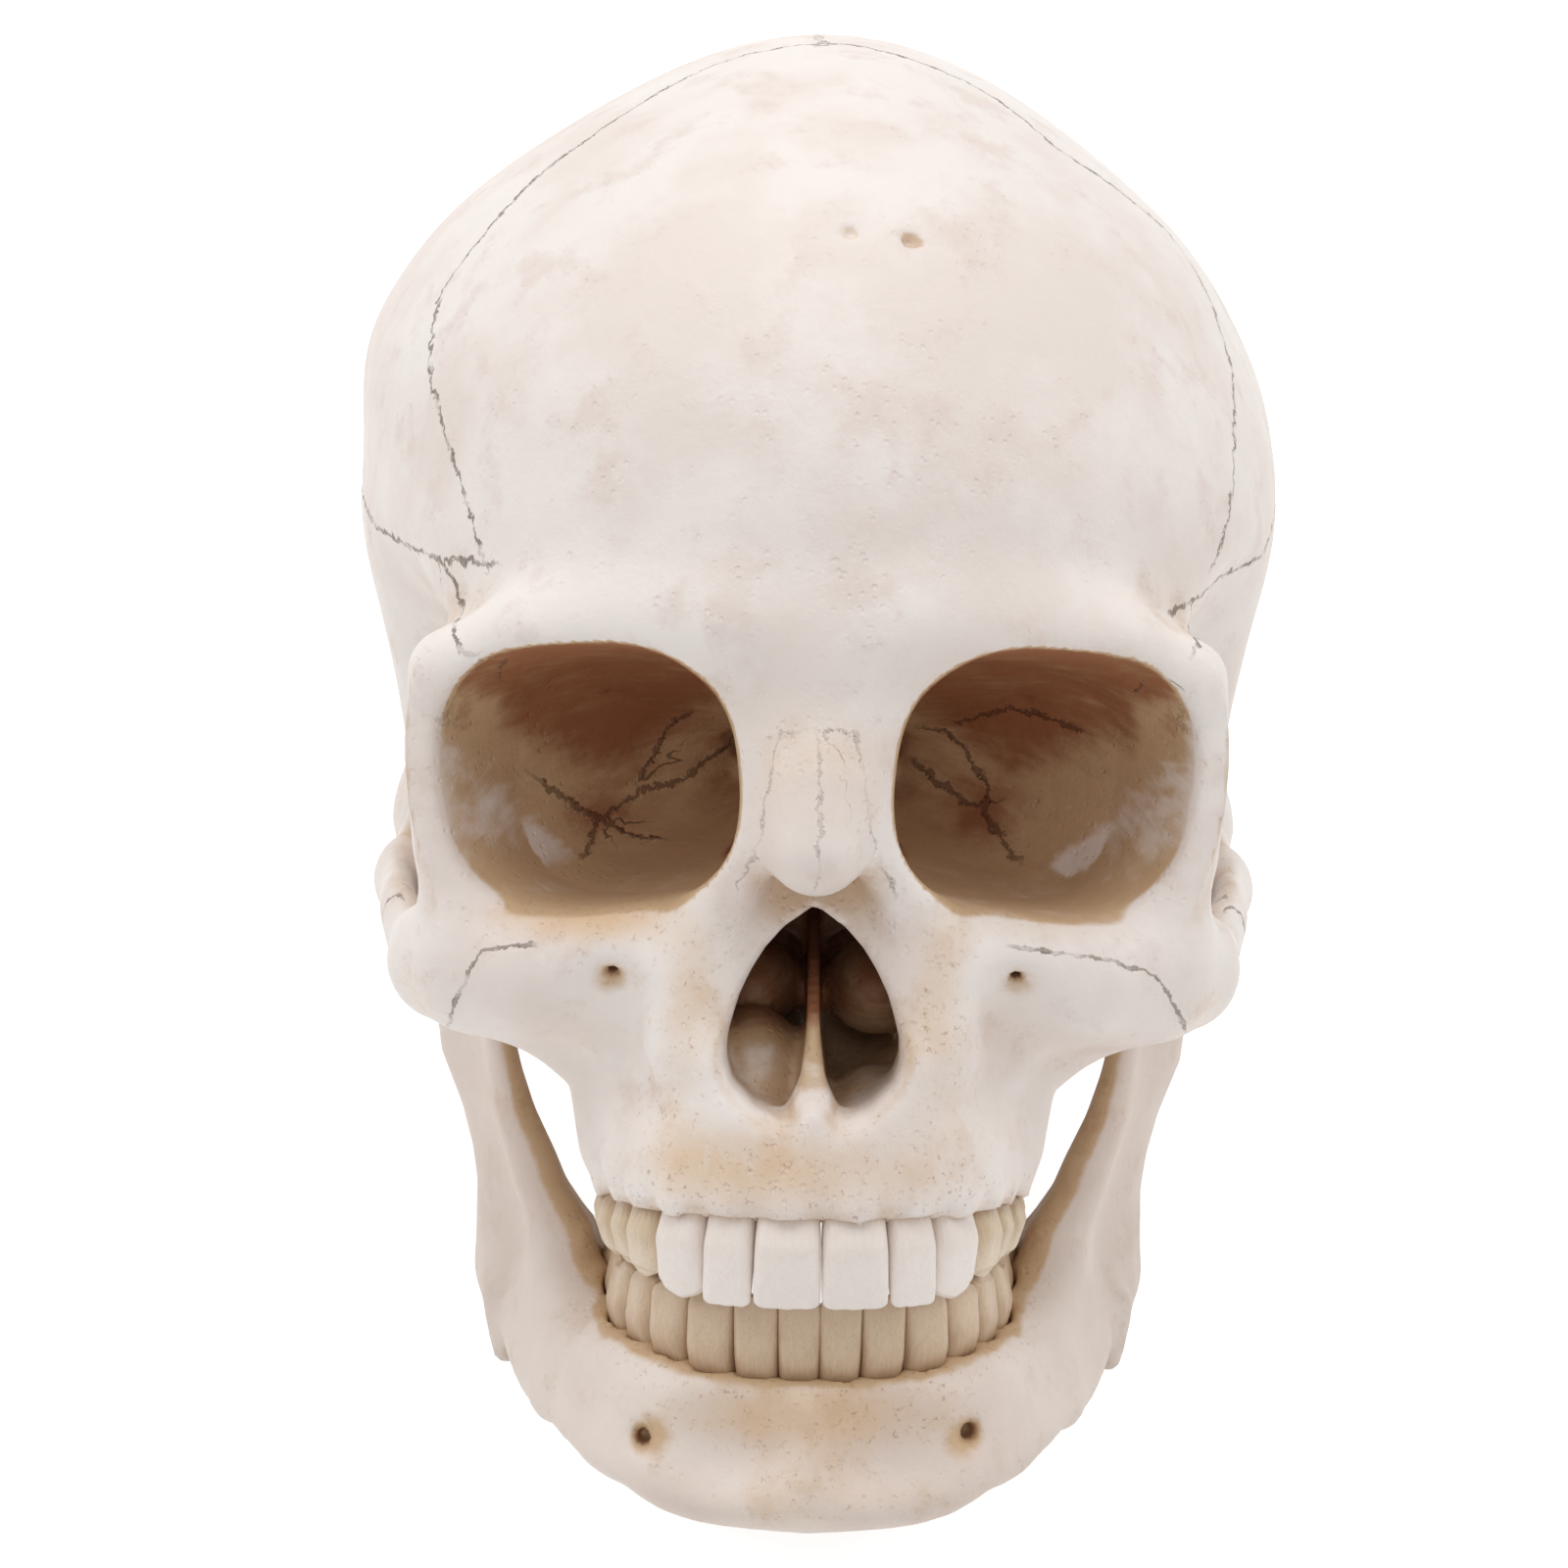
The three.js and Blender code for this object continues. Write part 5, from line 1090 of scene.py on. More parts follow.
@dataclass(frozen=True)
class Seam:
    """A suture: a line over the bone through places in skull axes.

    The share `give` of the height between line and bone isn't counted, so a rough line still marks
    the bone under it.
    """

    places: tuple[Place, ...]
    give: float = 0

    def measure(self, points: Array, normals: Array) -> tuple[Array, Array]:
        """Signed sideways distance to the line, and its plain distance.

        Args:
            points: Surface points in skull axes.
            normals: Their normals.

        Returns:
            The two distances; the first changes sign across the line.
        """
        best = np.full(len(points), 1e3)
        signed = np.full(len(points), 1e3)
        for a, b in zip(self.places, self.places[1:]):
            a, u = np.array(a), np.array(b) - np.array(a)
            t = np.clip((points - a) @ u / (u @ u), 0, 1)
            away = points - a - t[:, None] * u
            height = (away * normals).sum(1)[:, None]
            far = np.linalg.norm(away - self.give * height * normals, axis=1)
            across = np.cross(normals, u / np.linalg.norm(u))
            nearer = far < best
            best = np.where(nearer, far, best)
            signed = np.where(nearer, (away * across).sum(1), signed)
        return signed, best


def mirrored(places: Iterable[Place]) -> tuple[Place, ...]:
    """The same places on the other side of the skull."""
    return tuple((-x, y, z) for x, y, z in places)


SAGITTAL = (
    (-1.0, -20, 118.7), (-1, 2, 119), (0, 25, 115.5), (-1, 45, 104.5),
    (0, 63, 88), (0, 75, 71), (0, 80, 62),
)
LAMBDOID = ((0.0, 80, 62), (12, 79, 58), (24, 77, 50), (38, 69, 37), (50, 56, 22), (58, 44, 10), (60, 40, 4))
BACK_SIDE = ((-68.0, -15, 51), (-69, 0, 52), (-68, 16, 47), (-66, 30, 33), (-62, 40, 18), (-59, 41, 6))
BESIDE_NOSE = ((5.2, -95.5, 24), (7.5, -96, 14), (10, -93, 3))
ARCH_SEAM = ((61.5, -49, -4.5), (61.2, -46, -9), (60.5, -43, -16))
RIM_SEAM = ((49, -76, 23.5), (53.5, -71, 24.5), (55, -64, 24))
SEAMS: dict[str, tuple[Seam, ...]] = {
    "seam_crown": (
        Seam((
            (-48.3, -70.8, 46.6), (-51.4, -65.6, 55.9), (-53.8, -59.9, 62.4), (-55.5, -52.5, 70.3),
            (-54.8, -43.6, 80.4), (-49.3, -43, 88.9), (-42.6, -37.3, 98.3), (-35.7, -34.3, 104.7),
            (-17.2, -24.1, 115.2), (2, -21, 118.5), (25.3, -24.8, 109.7), (34, -30.6, 102.9),
            (41.5, -25.9, 97.5), (49.1, -19.9, 89.6), (55.2, -24.3, 79.1), (57.5, -30.9, 70.8),
            (57.3, -43.3, 61.5), (56.1, -53.5, 46.7),
        )),
    ),
    "seam_back": (
        Seam(SAGITTAL, 0.85),
        Seam(LAMBDOID, 0.85),
        Seam(mirrored(LAMBDOID), 0.85),
    ),
    "seam_side": (
        Seam((
            (-48.3, -70.9, 44.6), (-53.5, -62.6, 44.1), (-60.2, -44, 45.1), (-64.4, -35.1, 46.2), *BACK_SIDE,
        ), 0.85),
        Seam(((-53.5, -62.6, 43.1), (-51.8, -69.1, 38.1), (-50.1, -78.9, 33.5))),
        Seam(((51.1, -66.2, 39.3), (56.3, -49.1, 40.8), (64.3, -30.1, 44), *mirrored(BACK_SIDE)), 0.85),
        Seam(((57.2, -45.9, 40.5), (54, -60, 37), (51.9, -73, 33.7))),
    ),
    "seam_face": (
        Seam(((-51.1, -73.3, -19.7), (-48.8, -78.7, -13.3), (-46.7, -80.1, -8.9), (-42.5, -82.2, -8))),
        Seam(((31.2, -84.4, -7.2), (39.5, -83.1, -8.4), (47.9, -79.1, -11.2), (51.8, -74.6, -18.1))),
        Seam(ARCH_SEAM),
        Seam(mirrored(ARCH_SEAM)),
    ),
    "orbit_crack": (
        Seam(((-38.2, -57, 12), (-34, -54, 8.6), (-31, -51.7, 6.1), (-24.9, -51.6, 4.2))),
        Seam(((-31, -51.7, 6.1), (-32.8, -55.2, 2.3))),
        Seam(((-31, -51.7, 6.1), (-25.8, -47, 9.9), (-18.8, -42.3, 11.3), (-13.9, -39.2, 14.9))),
        Seam(((-25.8, -47, 9.9), (-23.3, -44.6, 15.1), (-20.3, -45.9, 20.2))),
        Seam(((16.1, -40.9, 12.4), (20.3, -43.7, 9.6), (24.3, -46.2, 7.7), (27.9, -53.3, 3.1))),
        Seam(((24.3, -46.2, 7.7), (24.3, -45.9, 11.6), (21.6, -43.8, 16.3), (18, -43.6, 19.1))),
        Seam(((22.2, -47.2, 21), (27.6, -51.9, 23), (36, -54.9, 21.3))),
    ),
    "seam_faint": (
        Seam((
            *mirrored(BESIDE_NOSE)[::-1], (-4.7, -96, 23.9), (0, -97.1, 24.9), (4.7, -96, 24.1),
            *BESIDE_NOSE,
        )),
        Seam(((0, -97.1, 24.9), (0.4, -99.5, 14), (0, -101.5, 3))),
        Seam(RIM_SEAM),
        Seam(mirrored(RIM_SEAM)),
    ),
}


@dataclass(frozen=True)
class BoneMarks:
    """Works out the marks that the bone's finish reads: how shut in each point is, which it paints as shade,
    and the sutures and cracks.
    """

    distance: Field
    probes: tuple[float, ...] = (1.5, 4, 9)
    shares: tuple[float, ...] = (0.3, 0.35, 0.35)

    def normals(self, points: Array) -> Array:
        """Outward direction of the field at each point."""
        h = 0.35
        slopes = []
        for axis in range(3):
            ahead, behind = points.copy(), points.copy()
            ahead[:, axis] += h
            behind[:, axis] -= h
            slopes.append(self.distance(tuple(ahead.T.copy())) - self.distance(tuple(behind.T.copy())))
        n = np.stack(slopes, 1)
        return n / (np.linalg.norm(n, axis=1, keepdims=True) + 1e-9)

    def shade(self, points: Array, normals: Array) -> Array:
        """How shut in each point is: 0 on open bone, towards 1 in a hollow; the finish paints it as shade.
        """
        total = np.zeros(len(points), np.float32)
        for reach, share in zip(self.probes, self.shares):
            clear = self.distance(tuple((points + normals * reach).astype(np.float32).T.copy())) / reach
            total += share * np.clip(1 - clear, 0, 1.4)
        return total

    def apply(self, piece: Piece, seams: dict[str, tuple[Seam, ...]]) -> Array:
        """Stores every mark on the piece, whose vertices are in skull axes, and gives its normals."""
        points = vertex_places(piece)
        normals = self.normals(points)
        store(piece, "shade", self.shade(points, normals))
        for name, group in seams.items():
            value, nearest = np.full(len(points), 1e3), np.full(len(points), 1e3)
            for seam in group:
                signed, far = seam.measure(points, normals)
                value = np.where(far < nearest, signed, value)
                nearest = np.minimum(nearest, far)
            store(piece, name, np.clip(value, -9, 9))
            store(piece, f"{name}_near", 1 - smooth((nearest - 2.5) / 2))
        return normals


def blob(points: Array, centre: Sequence[float], radii: Sequence[float]) -> Array:
    """Soft patch: 1 at its centre, falling to 0 about one and a half radii away."""
    return np.exp(-(((points - np.array(centre)) / np.array(radii)) ** 2).sum(1))


def both_sides(centre: Place, radii: Place, share: float) -> tuple[Patch, Patch]:
    """The same soft patch on both sides of the skull."""
    x, y, z = centre
    return (centre, radii, share), ((-x, y, z), radii, share)


def folded(points: Array) -> Array:
    """The points with the skull's right half laid over its left."""
    return np.column_stack([np.abs(points[:, 0]), points[:, 1:]])


# Finishes


def linear(code: str) -> tuple[float, float, float, float]:
    """Linear colour of an sRGB hex value."""
    parts = [int(code[i : i + 2], 16) / 255 for i in (1, 3, 5)]
    return (*(c / 12.92 if c <= 0.04045 else ((c + 0.055) / 1.055) ** 2.4 for c in parts), 1.0)


def per_metre(size_mm: float) -> float:
    """Pattern scale whose features are the given size."""
    return 1000 / size_mm


def node(tree: bpy.types.NodeTree, kind: str, sockets: dict | None = None, **settings: object) -> Node:
    """Adds a node.

    Args:
        tree: Node tree of the material or world.
        kind: Type of the node.
        sockets: Input sockets by name or place, each a value or an output to link.
        settings: Properties of the node.

    Returns:
        The node.
    """
    made = tree.nodes.new(kind)
    for name, value in settings.items():
        setattr(made, name, value)
    for name, value in (sockets or {}).items():
        if isinstance(value, Socket):
            tree.links.new(value, made.inputs[name])
        else:
            made.inputs[name].default_value = value
    return made


class Pattern:
    """The node tree of a finish or the world, and the steps that its pattern is made of."""

    def __init__(self, tree: bpy.types.NodeTree) -> None:
        """Works in the given tree."""
        self.tree = tree

    def place(self) -> Socket:
        """Object coordinates."""
        return node(self.tree, "ShaderNodeTexCoord").outputs["Object"]

    def stretch(self, at: Socket, scale: Place, turn: Place = (0, 0, 0)) -> Socket:
        """Coordinates turned and drawn out, to make streaks of a noise."""
        sockets = {"Vector": at, "Rotation": turn, "Scale": scale}
        return node(self.tree, "ShaderNodeMapping", sockets).outputs[0]

    def noise(self, at: Socket, scale: float, detail: float, roughness: float = 0.5) -> Socket:
        """Noise over the given coordinates."""
        sockets = {"Vector": at, "Scale": scale, "Detail": detail, "Roughness": roughness}
        return node(self.tree, "ShaderNodeTexNoise", sockets).outputs[0]

    def mark(self, name: str) -> Socket:
        """Number that the piece keeps for each vertex under a name."""
        return node(self.tree, "ShaderNodeAttribute", attribute_name=name).outputs["Fac"]

    def number(self, operation: str, a: Socket, b: Socket | float = 0) -> Socket:
        """What an operation makes of one or two numbers."""
        return node(self.tree, "ShaderNodeMath", {0: a, 1: b}, operation=operation).outputs[0]

    def plus(self, a: Socket, b: Socket | float) -> Socket:
        """Sum of two numbers."""
        return self.number("ADD", a, b)

    def times(self, a: Socket, b: Socket | float) -> Socket:
        """Product of two numbers."""
        return self.number("MULTIPLY", a, b)

    def swing(self, noise: Socket, span: float) -> Socket:
        """Noise brought round zero, from -span / 2 to span / 2."""
        return self.times(self.number("SUBTRACT", noise, 0.5), span)

    def between(self, value: Socket, low: float, high: float, top: float = 1) -> Socket:
        """Smooth share of the way that a value is from low to high, times top."""
        sockets = {0: value, 1: low, 2: high, 3: 0.0, 4: top}
        return node(self.tree, "ShaderNodeMapRange", sockets, interpolation_type="SMOOTHSTEP").outputs[0]

    def tint(self, share: Socket, under: Socket | str, over: str) -> Socket:
        """Colour that goes from under to over, an sRGB hex value, with the share."""
        sockets = {0: share, 6: linear(under) if isinstance(under, str) else under, 7: linear(over)}
        return node(self.tree, "ShaderNodeMix", sockets, data_type="RGBA").outputs[2]

    def seen(self) -> Socket:
        """1 where camera, reflection or refraction looks straight at the surface, else 0."""
        path = node(self.tree, "ShaderNodeLightPath").outputs
        direct = self.number("MAXIMUM", path["Is Camera Ray"], path["Is Glossy Ray"])
        return self.number("MAXIMUM", direct, path["Is Transmission Ray"])


class Finish:
    """A node material in the making: its one shader, and the pattern that feeds it."""

    def __init__(self, name: str, roughness: float, ior: float = 1.5) -> None:
        """Makes the material with the values that are the same all over."""
        self.material = bpy.data.materials.new(name)
        self.material.use_nodes = True
        self.pattern = Pattern(self.material.node_tree)
        self.inputs = self.material.node_tree.nodes["Principled BSDF"].inputs
        self.inputs["Roughness"].default_value = roughness
        self.inputs["IOR"].default_value = ior

    def feed(self, name: str, value: Socket) -> None:
        """Links a value to one of the shader's sockets."""
        self.material.node_tree.links.new(value, self.inputs[name])

    def relief(self, height: Socket) -> None:
        """Raises the surface by a height in millimetres."""
        sockets = {"Height": height, "Distance": MM, "Strength": 1.0}
        self.feed("Normal", node(self.material.node_tree, "ShaderNodeBump", sockets).outputs[0])


@dataclass(frozen=True)
class CastBone:
    """Resin cast of old bone: satin, faintly pitted, with painted shade in its hollows and a brown stain in
    its orbits and nose, deepened there by painted shade.
    """

    name: str = "cast_bone"
    light: str = "#F5EDE7"
    mid: str = "#EEE2DA"
    rosy: str = "#E3D1C7"
    tan: str = "#CDAE8A"
    brown: str = "#9A6545"
    dark: str = "#613A26"
    warm: str = "#E2BD90"
    line: str = "#6E5644"
    crack: str = "#46291A"
    roughness: float = 0.56
    mottle_mm: float = 28
    patch_mm: float = 9
    grit_mm: float = 1.1
    wave_mm: float = 2.4
    gap_mm: float = 3.5
    streak_mm: float = 1.9
    pore_mm: float = 1.6
    seams: tuple[Line, ...] = (
        ("seam_crown", 1.1, 0.42, 1.0),
        ("seam_back", 2.2, 0.42, 1.0),
        ("seam_side", 0.9, 0.42, 1.0),
        ("seam_face", 0.5, 0.32, 0.8),
        ("seam_faint", 0.9, 0.3, 0.32),
    )
    cracks: Line = ("orbit_crack", 0.9, 0.6, 0.62)

    def groove(self, pattern: Pattern, spot: Socket, line: Line) -> Socket:
        """How far each point lies in one wandering line.

        Args:
            pattern: Where the steps are added.
            spot: Object coordinates.
            line: The line's attribute, its wander and width in millimetres, and its strength.

        Returns:
            Share, 0 beside the line.
        """
        name, wander, width, strength = line
        wave = pattern.swing(pattern.noise(spot, per_metre(self.wave_mm), 3, 0.7), 4 * wander)
        away = pattern.number("ABSOLUTE", pattern.plus(pattern.mark(name), wave))
        share = pattern.between(away, width, width * 0.3, strength)
        return pattern.times(share, pattern.mark(f"{name}_near"))

    def seam_share(self, pattern: Pattern, spot: Socket) -> Socket:
        """How far each point lies in a suture's groove, broken here and there as sutures are."""
        gaps = pattern.noise(spot, per_metre(self.gap_mm), 2)
        broken = pattern.plus(pattern.between(gaps, 0.36, 0.52, 0.7), 0.3)
        total = self.groove(pattern, spot, self.seams[0])
        for line in self.seams[1:]:
            total = pattern.number("MAXIMUM", total, self.groove(pattern, spot, line))
        return pattern.times(total, broken)

    def depth(self, pattern: Pattern, spot: Socket, uneven: Socket) -> Socket:
        """Stain and painted shade of the deep hollows, with an uneven edge and streaks along their walls."""
        deep = pattern.mark("deep")
        along_walls = pattern.stretch(spot, (0.22, 0.3, 1.0), (0.3, 0.35, 0.0))
        streak = pattern.swing(pattern.noise(along_walls, per_metre(self.streak_mm), 5, 0.65), 0.5)
        ragged = pattern.times(pattern.plus(uneven, streak), pattern.between(deep, 0.0, 0.3, 0.8))
        return pattern.plus(deep, ragged)

    def build(self) -> Material:
        """Makes the material; patterns are sized in millimetres on object coordinates."""
        finish = Finish(self.name, self.roughness)
        art = finish.pattern
        spot = art.place()
        mottle = art.noise(spot, per_metre(self.mottle_mm), 4, 0.55)
        patch = art.noise(spot, per_metre(self.patch_mm), 6, 0.62)
        grit = art.noise(spot, per_metre(self.grit_mm), 5, 0.7)
        uneven = art.swing(patch, 0.55)
        warm_stain_and_shade, gum = art.mark("warm_stain_and_shade"), art.mark("gum")
        # Painted shade: how shut in each point is, made uneven by the patch noise.
        hollow = art.plus(art.mark("shade"), uneven)
        deeper = self.depth(art, spot, uneven)
        # Painted shade of the hollows, with the warm stains and the gum stain; brown specks and roughness
        # follow it.
        stained = art.plus(art.plus(hollow, warm_stain_and_shade), art.times(gum, 0.8))
        speck = art.times(art.between(grit, 0.58, 0.68), art.between(stained, 0.2, 0.8, 0.5))
        seam, crack = self.seam_share(art, spot), self.groove(art, spot, self.cracks)
        colour = art.tint(art.between(mottle, 0.38, 0.62), self.light, self.mid)
        for share, over in (
            (art.between(patch, 0.5, 0.72, 0.55), self.rosy),
            # Warm stains, and painted shade on the cheek bones' undersides.
            (art.between(art.plus(warm_stain_and_shade, uneven), 0.15, 1.0, 0.85), self.warm),
            # Painted shade: hollows go tan, then brown, the more shut in they are.
            (art.between(hollow, 0.22, 0.75, 0.8), self.tan),
            (art.between(hollow, 0.7, 1.25, 0.8), self.brown),
            # Orbit and nose stain, with the painted shade that darkens their roofs, depths and upper septum.
            (art.between(deeper, 0.04, 0.3), self.tan),
            (art.between(deeper, 0.35, 0.75), self.brown),
            (art.between(deeper, 0.85, 1.3), self.dark),
            (speck, self.brown),
            (art.times(seam, 0.8), self.line),
            (crack, self.crack),
        ):
            colour = art.tint(share, colour, over)
        finish.feed("Base Color", colour)
        rough = art.plus(patch, art.times(stained, 0.2))
        finish.relief(self.height(art, spot, rough, grit, art.number("MAXIMUM", seam, crack)))
        return finish.material

    def height(self, art: Pattern, spot: Socket, rough: Socket, grit: Socket, groove: Socket) -> Socket:
        """Pores, grain, gentle unevenness and grooves, with heights in millimetres."""
        sockets = {"Vector": spot, "Scale": per_metre(self.pore_mm), "Randomness": 1.0}
        pores = node(art.tree, "ShaderNodeTexVoronoi", sockets).outputs["Distance"]
        pits = art.times(art.between(pores, 0.3, 0.12), art.between(rough, 0.46, 0.64, -0.1))
        height = art.plus(pits, art.times(grit, 0.07))
        height = art.plus(height, art.times(rough, 0.45))
        return art.plus(height, art.times(groove, -0.3))


@dataclass(frozen=True)
class Enamel:
    """Glazed tooth cast: smoother than bone, stained towards the gum and down its fine cracks."""

    name: str
    crown: str
    body: str
    neck: str
    roughness: float = 0.38
    ior: float = 1.55
    streak_mm: float = 2 / 3
    cloud_mm: float = 5

    def build(self) -> Material:
        """Makes the material; it reads each tooth's own place in millimetres, gum at zero."""
        finish = Finish(self.name, self.roughness, self.ior)
        art = finish.pattern
        place = node(art.tree, "ShaderNodeAttribute", attribute_name="tooth").outputs["Vector"]
        high = node(art.tree, "ShaderNodeSeparateXYZ", {0: place}).outputs["Z"]
        streak = art.noise(art.stretch(place, (1.0, 1.0, 0.16)), 1 / self.streak_mm, 5, 0.6)
        cloud = art.noise(art.place(), per_metre(self.cloud_mm), 4)
        level = art.plus(high, art.times(streak, 3.0))
        crack = art.number("ABSOLUTE", art.number("SUBTRACT", streak, 0.47))
        colour = art.tint(art.between(level, 8.5, 3.5), self.crown, self.body)
        for share, over in (
            (art.between(level, 3.2, 0.9, 0.9), self.neck),
            (art.between(cloud, 0.5, 0.75, 0.4), self.body),
            (art.between(crack, 0.012, 0.002, 0.4), self.neck),
        ):
            colour = art.tint(share, colour, over)
        finish.feed("Base Color", colour)
        finish.relief(art.plus(art.times(streak, 0.16), art.times(cloud, 0.1)))
        return finish.material


@dataclass(frozen=True)
class SpringSteel:
    """Drawn spring wire and turned pins: bright, with fine lines from the die and dull patches."""

    colour: str = "#C3C4C6"
    dull: str = "#8E8B86"
    patch_mm: float = 3
    line_mm: float = 0.35

    def build(self) -> Material:
        """Makes the material."""
        finish = Finish("spring_steel", 0.5)
        finish.inputs["Metallic"].default_value = 1.0
        art = finish.pattern
        spot = art.place()
        patch = art.noise(spot, per_metre(self.patch_mm), 5)
        finish.feed("Base Color", art.tint(art.between(patch, 0.45, 0.7), self.colour, self.dull))
        finish.feed("Roughness", art.between(patch, 0.3, 0.8, 0.5))
        finish.relief(art.times(art.noise(spot, per_metre(self.line_mm), 2), 0.02))
        return finish.material


# Sub-assemblies


def set_down(piece: Piece) -> None:
    """Carries a mesh from skull axes to its place on the floor; what would sink in is cut flat."""
    co = REST.points(vertex_places(piece).astype(float))
    co[:, 2] = np.maximum(co[:, 2], 0)
    piece.data.vertices.foreach_set("co", co.astype(np.float32).ravel())
    piece.data.update()


def dress(piece: Piece, body: str, material: Material, nodes: Sequence[str]) -> None:
    """Gives a piece its finish, its body and the solids that it stands for."""
    piece.data.materials.clear()
    piece.data.materials.append(material)
    if body:
        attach(piece, body)
    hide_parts(*nodes)
    LOG.info("%s: %d faces, on %s", piece.name, len(piece.data.polygons), body or "head and jaw")


@dataclass(frozen=True)
class Bone(ABC):
    """What both bones share: a cast from a field, its marks, stains and painted shade, and its place on the
    floor.
    """

    form: CraniumForm | JawForm
    row: Jaw
    casting: Casting
    patches: tuple[Patch, ...]

    def distance(self, p: Point) -> Array:
        """Distance to the bone with its teeth's seats."""
        return ToothBed(self.row).fit(p, self.form.distance(p))

    @abstractmethod
    def stain_and_shade(self, points: Array, normals: Array, gum: Array) -> Array:
        """Stain and painted shade of the hollows, and stain of the gum.

        Args:
            points: Surface points in skull axes.
            normals: Their normals.
            gum: Their nearness to the gum.

        Returns:
            Shares between 0, clean, and 1, darkest.
        """

    def cast(self, solid: str, body: str, seams: dict[str, tuple[Seam, ...]], finish: Material) -> None:
        """Casts the bone, marks it, sets it down and dresses it.

        Args:
            solid: CAD node that the bone stands for.
            body: Moving body that the bone rides.
            seams: Seams by the attribute that holds them.
            finish: Its material.
        """
        low, high = self.form.low_corner, self.form.high_corner
        piece = self.casting.cast(f"{solid}_bone", self.distance, low, high)
        points = vertex_places(piece).astype(float)
        normals = BoneMarks(self.distance).apply(piece, seams)
        gum = ToothBed(self.row).nearness(points)
        store(piece, "gum", gum)
        # Stain, with painted shade, of the deep hollows and the gum.
        store(piece, "deep", self.stain_and_shade(points, normals, gum))
        # Warm stains, with painted shade on the cheek bones' undersides.
        warm_stain_and_shade = sum(share * blob(points, centre, radii) for centre, radii, share in self.patches)
        store(piece, "warm_stain_and_shade", warm_stain_and_shade)
        set_down(piece)
        dress(piece, body, finish, [solid])


@dataclass(frozen=True)
class Cranium(Bone):
    """The cranium with its sockets, stains, painted shade and sutures."""

    form: CraniumForm = CRANIUM
    row: Jaw = Jaw.UPPER
    casting: Casting = Casting()
    patches: tuple[Patch, ...] = (
        ((30, -80, -4), (15, 8, 4), 0.5),
        ((-30, -80, -4), (15, 8, 4), 1.0),
        ((0, -95, 18), (12, 8, 12), 0.5),
        *both_sides((17, -86, -16), (5, 9, 16), 0.75),
        ((-4, -90, -37), (22, 12, 7), 0.95),
        # Painted shade: these two patches darken the cheek bones' undersides; the other patches are warm
        # stains.
        *both_sides((52, -66, -16), (9, 10, 8), 0.5),
        *both_sides((52, -62, 20), (6, 14, 14), 0.45),
        ((4, -84, 50), (20, 12, 12), 0.3),
    )

    def eye_stain_and_shade(self, q: Point, points: Array, normals: Array) -> Array:
        """Stain of the orbits, tan from the rim inwards, with painted shade that turns it brown under the
        roof and darkest at the back.
        """
        form = self.form
        back = form.orbit_forward - 5 + q[1]
        inside = np.maximum(smooth((-form.outside(q) - 0.6) / 2.2), smooth((0.72 + normals[:, 1]) / 0.3))
        inside = np.maximum(inside, smooth((back - 21) / 4))
        across = (q[0] - form.orbit_spread) * 2 / form.orbit_width
        up = (q[2] - form.orbit_level) * 2 / form.orbit_height
        # Painted shade: the roof, under the brow, is painted darker; less so towards the inner and outer
        # walls.
        roof = smooth((up + 0.42 - 0.5 * np.maximum(across, 0) - 0.8 * np.maximum(-across, 0)) / 0.7)
        apex = blob(points, (-31, -51.7, 6.1), (5, 8, 5)) + blob(points, (24.3, -46.2, 7.7), (5, 8, 5))
        beyond = 7 * smooth((back - 14) / 4) * smooth((-0.3 - normals[:, 1]) / 0.2) * smooth((12 - q[2]) / 6)
        # Tan stain inside, plus painted shade under the roof and towards the back; the apex patches darken
        # it round the crack junctions.
        strength = 0.3 + 0.42 * roof + 0.2 * smooth((back - 14) / 24) + 0.3 * apex
        return smooth((2.2 + beyond - form.orbit(q)) / 1.2) * inside * strength

    def nose_stain_and_shade(self, q: Point) -> Array:
        """Stain of the nose: brown inside, with painted shade that darkens it deeper in and most on the
        upper septum, and tan along its floor.
        """
        nose = self.form.nose(q)
        inward = q[1] + self.form.nasion - 11 - 0.5 * np.clip(q[2] + 15, -8, 12)
        low = 1 - 0.8 * smooth((-17 - q[2]) / 8)
        plate = smooth((3 - q[0]) / 1.5) * smooth((-nose - 2) / 2)
        # Tan stain, with painted shade added deeper in and higher up, and dark painted shade on the upper
        # septum.
        within = 0.24 - 0.13 * smooth((-18 - q[2]) / 6) + 0.42 * low * smooth(inward / 13)
        within += plate * (0.1 * smooth((q[2] + 31) / 6) + 0.6 * smooth((q[2] + 20) / 7))
        return smooth((2.4 - nose) / 1.2) * smooth((inward + 3 + 5 * plate) / 4) * within

    def stain_and_shade(self, points: Array, normals: Array, gum: Array) -> Array:
        """Stain of the orbits, the nose, the nerve holes and, faintly, the gum, with painted shade in the
        orbits and nose.
        """
        q = (np.abs(points[:, 0]), points[:, 1], points[:, 2])
        nerve = 0.28 * blob(folded(points), (28.4, -84, -12), (2.6, 6, 2.4))
        hollows = np.maximum(self.eye_stain_and_shade(q, points, normals), self.nose_stain_and_shade(q))
        return np.maximum(np.maximum(hollows, nerve), 0.12 * smooth((gum - 0.84) / 0.16))

    def build(self, finish: Material) -> None:
        """Builds the cranium."""
        self.cast("cranium", "head", SEAMS, finish)


